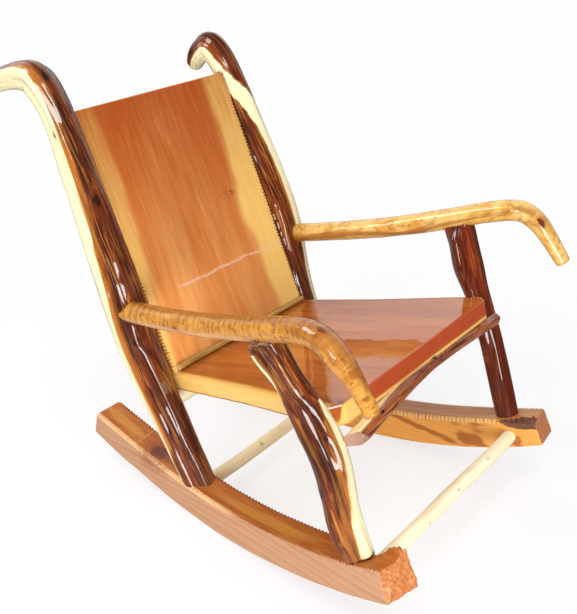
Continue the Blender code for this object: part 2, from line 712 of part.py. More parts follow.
def build_screws(parts):
    """Lag screws up through the rockers into the posts, and screws through the seat rails into the seat."""
    up = Vector((0, math.sin(SEAT_TILT), math.cos(SEAT_TILT)))
    for name, side in SIDES:
        rocker = parts[name + "_rocker"]
        routes = {"back": back_post_stations(name, side), "front": front_post_stations(name, side)}
        for where, route in routes.items():
            foot, above = Vector(route[0]).to_3d(), Vector(route[1]).to_3d()
            axis = (above - foot).normalized()
            low = foot + axis * ((rocker_top(foot.y) - ROCKER_DEPTH - foot.z) / axis.z)
            start = low + axis * LAG_SUNK
            length = ROCKER_DEPTH - LAG_SUNK + LAG_GRIP
            screw(f"{name}_{where}_lag_screw", start, axis, length, LAG_RADIUS, LAG_HEAD_RADIUS,
                  LAG_HEAD_HEIGHT, 2 * LAG_SUNK, (rocker, parts[f"{name}_{where}_post"]))
        rail = axis_at(rear_rail_stations(), side * SEAT_SCREW_SHARE * PANEL_FOOT_WIDTH / 2)
        start = rail.to_3d() - up * (REAR_RAIL_RADIUS / 2)
        length = 1.5 * REAR_RAIL_RADIUS + SEAT_SCREW_GRIP
        screw(name + "_seat_screw", start, up, length, SEAT_SCREW_RADIUS, SEAT_SCREW_HEAD,
              2 * SEAT_SCREW_RADIUS, REAR_RAIL_RADIUS, (parts["rear_seat_rail"], parts["seat_board"]))
    route = smooth_route(front_rail_stations(), BRANCH_STEP)
    for index, share in enumerate(RAIL_SCREW_SHARES, 1):
        rail = axis_at(route, share * SEAT_FRONT_WIDTH / 2)
        start = rail.to_3d() - up * (rail[3] / 2)
        length = rail[3] + SEAT_SCREW_GRIP
        screw(f"front_rail_screw_{index}", start, up, length, SEAT_SCREW_RADIUS, SEAT_SCREW_HEAD,
              2 * SEAT_SCREW_RADIUS, rail[3], (parts["front_seat_rail"], parts["seat_board"]))


def centre_chair():
    """Stand the chair on the middle of its box."""
    front = ROCKER_FRONT * math.cos(rocker_toe()) + ROCKER_WIDTH / 2 * math.sin(rocker_toe())
    top = seat_top(PANEL_FOOT) + PANEL_HEIGHT * math.cos(PANEL_RAKE)
    rear = panel_point(top) + max(station[0] for hook in BACK_POST_HOOKS.values() for station in hook)
    ROOT.location.y = (front - rear) / 2


clear_scene()
CHAIR = collection("rustic_rocking_chair")
CUTTERS = collection("cutters")
ROOT = bpy.data.objects.new("chair_middle", None)
CHAIR.objects.link(ROOT)
PARTS = {}
for SIDE_NAME, SIDE in SIDES:
    build_side(SIDE_NAME, SIDE, PARTS)
build_planks(PARTS)
build_cross_pieces(PARTS)
for SIDE_NAME, SIDE in SIDES:
    build_dowels(SIDE_NAME, SIDE, PARTS)
build_screws(PARTS)
centre_chair()
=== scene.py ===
"""Rustic rocking chair: peeled, varnished branches and planks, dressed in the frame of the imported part.

Metres, +Z up. The chair faces -Y, and the sitter's right hand is at -X.
"""

import logging
import math
from collections.abc import Callable, Iterable, Sequence
from dataclasses import dataclass, field, replace
from enum import Enum

import bmesh
import bpy
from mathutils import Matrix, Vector, noise


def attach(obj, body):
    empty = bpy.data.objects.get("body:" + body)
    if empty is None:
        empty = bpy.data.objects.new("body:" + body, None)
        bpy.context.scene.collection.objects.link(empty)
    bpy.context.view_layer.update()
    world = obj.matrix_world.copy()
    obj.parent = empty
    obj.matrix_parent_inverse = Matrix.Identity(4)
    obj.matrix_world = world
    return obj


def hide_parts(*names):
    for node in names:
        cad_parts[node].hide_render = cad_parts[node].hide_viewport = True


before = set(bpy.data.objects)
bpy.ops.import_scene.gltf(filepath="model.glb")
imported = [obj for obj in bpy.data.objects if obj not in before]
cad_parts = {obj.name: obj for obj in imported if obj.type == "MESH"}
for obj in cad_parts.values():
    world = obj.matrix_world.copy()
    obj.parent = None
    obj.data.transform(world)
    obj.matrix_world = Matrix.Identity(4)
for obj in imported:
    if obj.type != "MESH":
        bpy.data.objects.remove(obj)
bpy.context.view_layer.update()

LOG = logging.getLogger("rocking_chair")
BODY = "root"

FRONT = Vector((0.0, -1.0, 0.0))
UP = Vector((0.0, 0.0, 1.0))
END_GRAIN = 1
END_FACING = 0.9
KNOT_REACH = 4.0
NO_KNOT = 9.0
MASKS = ("sap", "stain", "knot", "hewn")

Tone = tuple[float, float, float]
Span = tuple[float, float]
Station = tuple[float, float, float, float]
Ribbon = Sequence[tuple[float, float, float]]
Lobe = tuple[int, float, float]
Flat = tuple[float, float, float, float]
Swell = tuple[float, float, float, float, float]
Plane = tuple[Vector, Vector]
Shape = bmesh.types.BMesh
Material = bpy.types.Material
Tree = bpy.types.NodeTree
Socket = bpy.types.NodeSocket
Sockets = bpy.types.bpy_prop_collection


class Side(Enum):
    """The two sides of the chair, as the sitter has them, with the sign of x."""

    RIGHT = -1
    LEFT = 1

    @property
    def word(self) -> str:
        """The side's name at the start of a piece's name."""
        return self.name.lower()

    @property
    def out(self) -> Vector:
        """The direction outward on this side."""
        return Vector((self.value, 0.0, 0.0))


class Figure(Enum):
    """What the wood of a piece shows on its surface."""

    STREAKED = "streaked heartwood along a branch"
    BURLED = "golden wood with dark marks across it"
    SAWN = "year rings cut by a saw"
    PEELED = "pale wood under the bark, with small bud scars"


def blend(a: float, b: float, share: float) -> float:
    """The value a share of the way from a to b."""
    return a + (b - a) * share


def limit(value: float, low: float = 0.0, high: float = 1.0) -> float:
    """The value, kept between two others."""
    return min(max(value, low), high)


def fade(low: float, high: float, value: float) -> float:
    """A smooth step from 0 at low to 1 at high."""
    share = limit((value - low) / (high - low))
    return share * share * (3 - 2 * share)


def rough(x: float, y: float, z: float) -> float:
    """An uneven value between -1 and 1 at a place."""
    return noise.noise(Vector((x, y, z)))


def along(table: Sequence[Sequence[float]], at: float) -> list[float]:
    """Read a table of rows whose first number is a place.

    Args:
        table: Rows in rising order of place.
        at: The place to read.

    Returns:
        The row's other numbers, between the two nearest rows.
    """
    if at <= table[0][0]:
        return list(table[0][1:])
    for low, high in zip(table, table[1:]):
        if at <= high[0]:
            share = fade(low[0], high[0], at)
            return [blend(a, b, share) for a, b in zip(low[1:], high[1:])]
    return list(table[-1][1:])


class NodeSheet:
    """Places and joins the nodes of one shader tree."""

    def __init__(self, tree: Tree) -> None:
        """Start with an empty tree."""
        self.tree = tree
        self.tree.nodes.clear()

    def fed(self, kind: str, feeds: dict, **settings: object) -> bpy.types.Node:
        """Add a node.

        Args:
            kind: Blender's name for it.
            feeds: What feeds its inputs, by their name or number.
            settings: Its properties.

        Returns:
            The node.
        """
        made = self.tree.nodes.new(kind)
        for name, value in settings.items():
            setattr(made, name, value)
        for key, value in feeds.items():
            self.feed(made.inputs[key], value)
        return made

    def node(self, kind: str, *feeds: object, **settings: object) -> bpy.types.Node:
        """Add a node, set its properties and feed its first inputs."""
        return self.fed(kind, dict(enumerate(feeds)), **settings)

    def feed(self, target: Socket, value: object) -> None:
        """Join a socket, or set a plain value on it.

        Args:
            target: The socket.
            value: Another socket, a number, a vector or a colour.
        """
        if isinstance(value, bpy.types.NodeSocket):
            self.tree.links.new(value, target)
        elif isinstance(value, tuple) and target.type == "RGBA":
            target.default_value = (*value, 1.0)
        else:
            target.default_value = value

    def attribute(self, name: str, output: str = "Fac") -> Socket:
        """What the piece's vertices carry under a name."""
        return self.node("ShaderNodeAttribute", attribute_name=name).outputs[output]

    def math(self, kind: str, a: object, b: object = 0.0, clamp: bool = False) -> Socket:
        """One sum of two values."""
        return self.node("ShaderNodeMath", a, b, operation=kind, use_clamp=clamp).outputs[0]

    def plus(self, a: object, b: object) -> Socket:
        """Two values added."""
        return self.math("ADD", a, b)

    def times(self, a: object, b: object) -> Socket:
        """Two values multiplied."""
        return self.math("MULTIPLY", a, b)

    def line(self, value: Socket, slope: float, start: float) -> Socket:
        """A value times a slope, from a start."""
        return self.plus(self.times(value, slope), start)

    def swing(self, value: Socket, amount: object) -> Socket:
        """A cloudy value, swung to both sides of 0."""
        return self.times(self.math("SUBTRACT", value, 0.5), amount)

    def vector(self, kind: str, a: object, b: object) -> Socket:
        """One sum of two vectors."""
        return self.node("ShaderNodeVectorMath", a, b, operation=kind).outputs[0]

    def length(self, place: Socket) -> Socket:
        """How long a vector is."""
        return self.node("ShaderNodeVectorMath", place, operation="LENGTH").outputs["Value"]

    def step(self, value: Socket, low: object, high: object) -> Socket:
        """A smooth step from 0 at low to 1 at high."""
        return self.node("ShaderNodeMapRange", value, low, high, interpolation_type="SMOOTHSTEP").outputs[0]

    def mix(self, share: object, a: object, b: object) -> Socket:
        """A colour between two colours."""
        return self.fed("ShaderNodeMix", {0: share, 6: a, 7: b}, data_type="RGBA").outputs[2]

    def tint(self, wood: object, mask: Socket, share: float, tone: Tone) -> Socket:
        """A colour, tinted by a share where a mask is."""
        return self.mix(self.times(mask, share), wood, tone)

    def cloud(self, place: object, scale: float, detail: float = 2.0, wander: float = 0.0) -> Socket:
        """A cloudy value between 0 and 1."""
        feeds = {"Vector": place, "Scale": scale, "Detail": detail, "Distortion": wander}
        return self.fed("ShaderNodeTexNoise", feeds).outputs[0]

    def stretch(self, place: Socket, across: object, lengthways: object) -> Socket:
        """Scale a place across the fibre and along it."""
        scale = self.node("ShaderNodeCombineXYZ", across, across, lengthways).outputs[0]
        return self.vector("MULTIPLY", place, scale)

    def streaks(self, place: Socket, across: object, lengthways: object, detail: float = 2.0,
                wander: float = 0.0) -> Socket:
        """A cloudy value with its own scale across the fibre and along it."""
        return self.cloud(self.stretch(place, across, lengthways), 1.0, detail, wander)

    def use(self, group: Tree, **values: object) -> Sockets:
        """Place a shared effect with its own values, and give its outputs."""
        return self.fed("ShaderNodeGroup", values, node_tree=group).outputs

    def relief(self, height: Socket, depth: float) -> Socket:
        """The normal of a relief of some depth in metres."""
        return self.fed("ShaderNodeBump", {"Height": height, "Distance": depth}).outputs["Normal"]

    def shade(self, sockets: dict[str, object]) -> None:
        """Close a material with a shader whose sockets are fed by name."""
        self.close(self.fed("ShaderNodeBsdfPrincipled", sockets).outputs[0])

    def close(self, surface: Socket, kind: str = "Material") -> None:
        """Join the last shader to the tree's output."""
        self.fed("ShaderNodeOutput" + kind, {"Surface": surface})


def blank_finish(name: str) -> tuple[Material, NodeSheet]:
    """A new material, and the empty sheet of its nodes.

    Args:
        name: The material's name.

    Returns:
        Both.
    """
    made = bpy.data.materials.new(name)
    made.use_nodes = True
    return made, NodeSheet(made.node_tree)


class Effects:
    """The effects that the wood finishes share, each one a node group made once."""

    def __init__(self) -> None:
        """Make every group."""
        self.fibre = self._fibre()
        self.sap_line = self._sap_line()
        self.knot_eye = self._knot_eye()
        self.year_rings = self._year_rings()
        self.cross_marks = self._cross_marks()
        self.cut_line = self._cut_line()
        self.worm_marks = self._worm_marks()
        self.bud_scars = self._bud_scars()
        self.varnish = self._varnish()

    @staticmethod
    def _group(name: str, vectors: Iterable[str], values: Iterable[str],
               gives: Iterable[str]) -> tuple[NodeSheet, Sockets, Sockets]:
        """Make an empty group.

        Args:
            name: The group's name.
            vectors: Names of its inputs that are vectors.
            values: Names of its inputs that are plain values.
            gives: Names of its outputs, all of them plain values.

        Returns:
            The sheet to draw on, the sockets that it gets, and the sockets that it puts out.
        """
        tree = bpy.data.node_groups.new(name, "ShaderNodeTree")
        sheet = NodeSheet(tree)
        for labels, way, kind in ((vectors, "INPUT", "Vector"), (values, "INPUT", "Float"), (gives, "OUTPUT", "Float")):
            for label in labels:
                tree.interface.new_socket(name=label, in_out=way, socket_type="NodeSocket" + kind)
        return sheet, sheet.node("NodeGroupInput").outputs, sheet.node("NodeGroupOutput").inputs

    def _fibre(self) -> Tree:
        """Broad streaks, narrow lines and fine fibres that run along the wood, and broad patches.

        Returns:
            The group.
        """
        bands = {
            "Streak": ((1.0, 1.0, 1.0), 4.0, 1.0, 0.36, 0.64),
            "Line": ((2.3, 2.3, 1.7), 4.0, 0.9, 0.50, 0.68),
            "Fibre": ((9.0, 9.0, 2.6), 4.0, 0.2, 0.30, 0.72),
            "Patch": ((0.35, 0.35, 0.7), 1.0, 0.0, 0.35, 0.65),
        }
        sheet, get, put = self._group("wood_fibre", ("Place",), ("Across", "Along"), bands)
        broad = sheet.stretch(get["Place"], get["Across"], get["Along"])
        for name, (scale, detail, wander, low, high) in bands.items():
            band = sheet.cloud(sheet.vector("MULTIPLY", broad, scale), 1.0, detail, wander)
            sheet.feed(put[name], sheet.step(band, low, high))
        return sheet.tree

    def _sap_line(self) -> Tree:
        """Where another wood begins, with an uneven edge, and the rim beside it.

        Returns:
            The group.
        """
        sheet, get, put = self._group("sapwood_line", ("Place",), ("Sap", "Uneven", "Soft"), ("Mask", "Rim"))
        shift = sheet.swing(sheet.streaks(get["Place"], 90.0, 9.0, 4.0, 0.5), get["Uneven"])
        edge = sheet.plus(get["Sap"], shift)
        sheet.feed(put["Mask"], sheet.step(edge, sheet.times(get["Soft"], -1.0), get["Soft"]))
        sheet.feed(put["Rim"], sheet.step(sheet.math("ABSOLUTE", sheet.plus(edge, 0.10)), 0.45, 0.0))
        return sheet.tree

    def _knot_eye(self) -> Tree:
        """The dark eye of a knot and the rings that grow round it.

        Returns:
            The group.
        """
        sheet, get, put = self._group("knot_eye", ("Place",), ("Knot",), ("Eye", "Halo"))
        near = sheet.plus(get["Knot"], sheet.swing(sheet.streaks(get["Place"], 130.0, 60.0, 4.0, 0.6), 1.3))
        sheet.feed(put["Eye"], sheet.step(near, 1.1, 0.5))
        ring = sheet.step(sheet.math("SINE", sheet.times(near, 11.0)), -0.3, 0.9)
        sheet.feed(put["Halo"], sheet.times(sheet.line(ring, 0.5, 0.5), sheet.step(near, 2.6, 0.9)))
        return sheet.tree

    def _year_rings(self) -> Tree:
        """Dark late wood at the end of each year's growth round a pith.

        Returns:
            The group.
        """
        sheet, get, put = self._group("year_rings", ("Place", "Pith"), ("Spacing", "Wander"), ("Late",))
        away = sheet.vector("MULTIPLY", sheet.vector("SUBTRACT", get["Place"], get["Pith"]), (1.0, 1.0, 0.06))
        shift = sheet.swing(sheet.streaks(get["Place"], 22.0, 3.0, 3.0, 0.3), get["Wander"])
        years = sheet.math("DIVIDE", sheet.plus(sheet.length(away), shift), get["Spacing"])
        part = sheet.math("FRACT", years)
        late = sheet.times(sheet.step(part, 0.35, 0.9), sheet.step(part, 1.0, 0.93))
        lean = sheet.step(sheet.cloud(sheet.times(years, 0.61), 1.0, 1.0), 0.36, 0.60)
        sheet.feed(put["Late"], sheet.times(late, sheet.line(lean, 0.75, 0.25)))
        return sheet.tree

    def _cross_marks(self) -> Tree:
        """Short dark creases across the fibre, and the mottled figure between them.

        Returns:
            The group.
        """
        sheet, get, put = self._group("cross_marks", ("Place",), ("Across", "Along"), ("Mark", "Mottle", "Wrinkle"))
        wave = sheet.streaks(get["Place"], get["Across"], get["Along"], 1.0, 0.25)
        crease = sheet.step(sheet.math("ABSOLUTE", sheet.math("SUBTRACT", wave, 0.5)), 0.055, 0.012)
        gate = sheet.step(sheet.streaks(get["Place"], 70.0, 34.0, 3.0), 0.47, 0.60)
        sheet.feed(put["Mark"], sheet.times(crease, gate))
        sheet.feed(put["Mottle"], sheet.step(sheet.streaks(get["Place"], 60.0, 26.0, 4.0, 1.2), 0.34, 0.66))
        sheet.feed(put["Wrinkle"], wave)
        return sheet.tree

    def _cut_line(self) -> Tree:
        """A thin wandering line across the fibre, as of an old saw cut.

        Returns:
            The group.
        """
        values = ("At", "Lean", "Wander", "Width", "From", "Face")
        sheet, get, put = self._group("cut_line", ("Place",), values, ("Mask",))
        x, y, z = sheet.node("ShaderNodeSeparateXYZ", get["Place"]).outputs
        shift = sheet.swing(sheet.streaks(get["Place"], 16.0, 0.5, 3.0), get["Wander"])
        middle = sheet.plus(sheet.plus(get["At"], sheet.times(x, get["Lean"])), shift)
        far = sheet.math("ABSOLUTE", sheet.math("SUBTRACT", z, middle))
        broken = sheet.step(sheet.cloud(get["Place"], 70.0), 0.28, 0.46)
        begun = sheet.step(sheet.math("SUBTRACT", x, get["From"]), 0.0, 0.02)
        shown = sheet.step(sheet.times(y, get["Face"]), 0.0, 0.006)
        line = sheet.times(sheet.step(far, get["Width"], 0.0), broken)
        sheet.feed(put["Mask"], sheet.times(sheet.times(line, begun), shown))
        return sheet.tree

    def _worm_marks(self) -> Tree:
        """A handful of small dark pits in a row across the fibre.

        Returns:
            The group.
        """
        sheet, get, put = self._group("worm_marks", ("Place", "Middle"), ("Reach",), ("Mask",))
        away = sheet.vector("SUBTRACT", get["Place"], get["Middle"])
        reach = sheet.length(sheet.vector("MULTIPLY", away, (1.0, 2.4, 1.6)))
        gate = sheet.step(sheet.math("DIVIDE", reach, get["Reach"]), 1.0, 0.7)
        pits = sheet.step(sheet.streaks(get["Place"], 170.0, 420.0, 1.0), 0.60, 0.66)
        sheet.feed(put["Mask"], sheet.times(gate, pits))
        return sheet.tree

    def _bud_scars(self) -> Tree:
        """Small scattered scars where buds and twigs sat under the bark.

        Returns:
            The group.
        """
        sheet, get, put = self._group("bud_scars", ("Place",), (), ("Scar", "Ring"))
        bent = sheet.vector("ADD", get["Place"], (0.013, 0.027, 0.041))
        feeds = {"Vector": sheet.stretch(bent, 1.0, 0.55), "Scale": 42.0}
        spots = sheet.fed("ShaderNodeTexVoronoi", feeds, feature="F1").outputs
        near = sheet.plus(spots["Distance"], sheet.swing(sheet.cloud(get["Place"], 260.0), 0.16))
        pick = sheet.step(sheet.node("ShaderNodeSeparateColor", spots["Color"]).outputs[0], 0.62, 0.66)
        for name, far, close in (("Scar", 0.09, 0.04), ("Ring", 0.24, 0.08)):
            sheet.feed(put[name], sheet.times(sheet.step(near, far, close), pick))
        return sheet.tree

    def _varnish(self) -> Tree:
        """The uneven skin of brushed varnish: how dull it is, and its ripples.

        Returns:
            The group.
        """
        sheet, get, put = self._group("varnish_skin", ("Place",), ("Dull",), ("Roughness", "Ripple"))
        spread = sheet.line(sheet.streaks(get["Place"], 26.0, 8.0, 3.0, 0.4), 0.9, 0.55)
        sheet.feed(put["Roughness"], sheet.math("MULTIPLY", get["Dull"], spread, clamp=True))
        sheet.feed(put["Ripple"], sheet.streaks(get["Place"], 120.0, 60.0))
        return sheet.tree


@dataclass(frozen=True)
class WoodFinish:
    """A varnished wood: its colours, its figure and its gloss.

    The figure follows the piece's own attributes: fibre (place in straightened wood, z along the fibre),
    sap (above 0 in sapwood), stain (above 0 in wood of a third tone), knot (distance from the nearest knot,
    in knot sizes) and hewn (depth of a cut notch, which can show fresh wood, and whose deep part is darkened as painted
    shade).
    """

    name: str
    figure: Figure
    dark: Tone
    mid: Tone
    light: Tone
    sap: Tone
    rim: Tone
    knot: Tone
    mark: Tone = (0.10, 0.03, 0.01)
    stain: Tone = (0.30, 0.10, 0.03)
    stain_share: float = 0.8
    across: float = 55.0
    lengthways: float = 3.5
    ring_spacing: float = 0.007
    pith: Tone = (0.02, 0.25, 0.0)
    late: float = 0.5
    patchy: float = 0.4
    uneven: float = 0.55
    soft: float = 0.10
    dull: float = 0.16
    coat: float = 1.0
    gloss: float = 0.05
    relief: float = 0.0003
    rimmed: float = 0.35
    lined: float = 0.35
    veined: float = 0.4
    marked: float = 0.65
    fresh: Tone | None = None
    cut: tuple[float, float, float, float, float, float] | None = None
    pits: Tone | None = None
    pit_reach: float = 0.032
    sap_shade: float = 0.86
    stain_soft: float = 0.35
    ripple: float = 0.35
    specular: float = 0.08

    def material(self, effects: Effects) -> Material:
        """Make the finish.

        Args:
            effects: The shared node groups.

        Returns:
            The finished material.
        """
        made, sheet = blank_finish(self.name)
        place = sheet.attribute("fibre", "Vector")
        sap, stain, knot, hewn = (sheet.attribute(name) for name in MASKS)
        grain = sheet.use(effects.fibre, Place=place, Across=self.across, Along=self.lengthways)
        wood, lines, height = self._figure(sheet, effects, place, grain)

        edge = sheet.use(effects.sap_line, Sap=sap, Place=place, Uneven=self.uneven, Soft=self.soft)
        wood = sheet.tint(wood, edge["Rim"], self.rimmed, self.rim)
        sapwood = sheet.tint(self.sap, grain["Fibre"], 0.6, tuple(self.sap_shade * value for value in self.sap))
        sapwood = sheet.tint(sapwood, lines, self.lined, self.rim)
        wood = sheet.mix(edge["Mask"], wood, sapwood)

        spot = sheet.use(effects.sap_line, Sap=stain, Place=place, Uneven=2.0 * self.uneven,
                         Soft=max(self.soft, self.stain_soft))
        share = sheet.times(spot["Mask"], self.stain_share)
        if self.figure is Figure.STREAKED:
            share = sheet.math("MULTIPLY", share, sheet.line(grain["Streak"], 0.9, 0.25), clamp=True)
        wood = sheet.mix(share, wood, self.stain)
        if self.cut:
            values = dict(zip(("At", "Lean", "Wander", "Width", "From", "Face"), self.cut))
            line = sheet.use(effects.cut_line, Place=place, **values)
            wood = sheet.tint(wood, line["Mask"], 0.75, tuple(blend(value, 0.8, 0.35) for value in self.light))
        if self.pits:
            pits = sheet.use(effects.worm_marks, Place=place, Middle=self.pits, Reach=self.pit_reach)
            wood = sheet.tint(wood, pits["Mask"], 0.8, self.mark)

        if self.fresh:
            wood = sheet.tint(wood, sheet.step(hewn, 0.0, 0.25), 0.75, self.fresh)
        # Painted shade: the deep part of each notch is darkened to the dark wood tone, for the shade that falls in the
        # notch valleys.
        wood = sheet.tint(wood, sheet.step(hewn, 0.55, 1.05), 0.8, self.dark)
        eye = sheet.use(effects.knot_eye, Knot=knot, Place=place)
        wood = sheet.tint(wood, eye["Halo"], 0.8, tuple(blend(a, b, 0.45) for a, b in zip(self.knot, self.mid)))
        wood = sheet.mix(eye["Eye"], wood, self.knot)

        skin = sheet.use(effects.varnish, Place=place, Dull=self.dull)
        height = sheet.plus(height, sheet.times(skin["Ripple"], self.ripple))
        height = sheet.math("SUBTRACT", height, sheet.times(eye["Eye"], 0.8))
        sheet.shade({
            "Base Color": wood, "Roughness": skin["Roughness"], "Normal": sheet.relief(height, self.relief),
            "Specular IOR Level": self.specular, "Coat Weight": self.coat, "Coat Roughness": self.gloss})
        return made

    def _figure(self, sheet: NodeSheet, effects: Effects, place: Socket,
                grain: Sockets) -> tuple[Socket, Socket, Socket]:
        """The heartwood's own pattern.

        Args:
            sheet: The material's nodes.
            effects: The shared node groups.
            place: The place in straightened wood.
            grain: The outputs of the fibre effect.

        Returns:
            The heartwood's colour, lines that go on into the sapwood, and the height of the relief.
        """
        streak, line, fibre, patch = (grain[name] for name in ("Streak", "Line", "Fibre", "Patch"))
        fine = sheet.times(fibre, 0.6)
        if self.figure is Figure.BURLED:
            marks = sheet.use(effects.cross_marks, Place=place, Across=self.across, Along=self.lengthways)
            wood = sheet.tint(sheet.mix(marks["Mottle"], self.dark, self.mid), patch, self.patchy, self.light)
            wood = sheet.tint(wood, marks["Mark"], self.marked, self.mark)
            return wood, marks["Mark"], sheet.math("SUBTRACT", marks["Wrinkle"], marks["Mark"])
        if self.figure is Figure.SAWN:
            rings = sheet.use(effects.year_rings, Place=place, Pith=self.pith, Spacing=self.ring_spacing,
                              Wander=2.2 * self.ring_spacing)
            late = sheet.times(rings["Late"], self.late)
            wood = sheet.mix(late, sheet.mix(streak, self.mid, self.light), self.dark)
            wood = sheet.tint(wood, patch, self.patchy, self.dark)
            wood = sheet.tint(wood, line, self.veined, self.dark)
            wood = sheet.tint(wood, fine, self.veined, self.light)
            return wood, late, sheet.plus(fine, rings["Late"])
        if self.figure is Figure.PEELED:
            scars = sheet.use(effects.bud_scars, Place=place)
            wood = sheet.tint(sheet.mix(streak, self.mid, self.light), fine, 0.6, self.dark)
            wood = sheet.tint(wood, scars["Ring"], 0.45, self.rim)
            wood = sheet.mix(scars["Scar"], wood, self.mark)
            return wood, scars["Scar"], sheet.math("SUBTRACT", fine, scars["Scar"])
        wood = sheet.tint(sheet.mix(streak, self.dark, self.mid), line, 0.72, self.light)
        wood = sheet.tint(wood, patch, self.patchy, self.dark)
        wood = sheet.tint(wood, fine, 0.4, self.dark)
        return wood, sheet.times(line, 0.3), sheet.plus(fine, line)


@dataclass(frozen=True)
class EndFinish:
    """A sawn end: rings round the pith, torn fibres and a thin coat of varnish."""

    name: str
    pale: Tone
    late: Tone
    torn: Tone
    spacing: float = 0.0032
    pith: Tone = (0.004, -0.003, 0.0)
    relief: float = 0.0008
    ringed: float = 1.0
    specular: float = 0.15
    coat: float = 0.3
    gloss: float = 0.15

    def material(self, effects: Effects) -> Material:
        """Make the finish.

        Args:
            effects: The shared node groups.

        Returns:
            The finished material.
        """
        made, sheet = blank_finish(self.name)
        place = sheet.attribute("fibre", "Vector")
        rings = sheet.use(effects.year_rings, Place=place, Pith=self.pith, Spacing=self.spacing,
                          Wander=0.9 * self.spacing)
        torn = sheet.step(sheet.cloud(place, 150.0, 5.0, 0.8), 0.42, 0.62)
        late = sheet.times(rings["Late"], self.ringed)
        wood = sheet.tint(sheet.mix(late, self.pale, self.late), torn, 0.55, self.torn)
        height = sheet.plus(sheet.times(late, 0.4), torn)
        sheet.shade({
            "Base Color": wood, "Roughness": sheet.line(torn, 0.3, 0.28), "Normal": sheet.relief(height, self.relief),
            "Specular IOR Level": self.specular, "Coat Weight": self.coat, "Coat Roughness": self.gloss})
        return made


@dataclass(frozen=True)
class FastenerFinish:
    """A plain dowel or screw, seen only when the chair is taken apart, grained or brushed one way."""

    name: str
    dark: Tone
    pale: Tone
    scale: Tone
    rough_slope: float
    rough_start: float
    metal: float = 0.0

    def material(self) -> Material:
        """Make the finish.

        Returns:
            The finished material.
        """
        made, sheet = blank_finish(self.name)
        place = sheet.node("ShaderNodeTexCoord").outputs["Object"]
        grain = sheet.cloud(sheet.vector("MULTIPLY", place, self.scale), 1.0, 3.0)
        sheet.shade({
            "Base Color": sheet.mix(grain, self.dark, self.pale),
            "Roughness": sheet.line(grain, self.rough_slope, self.rough_start), "Metallic": self.metal})
        return made


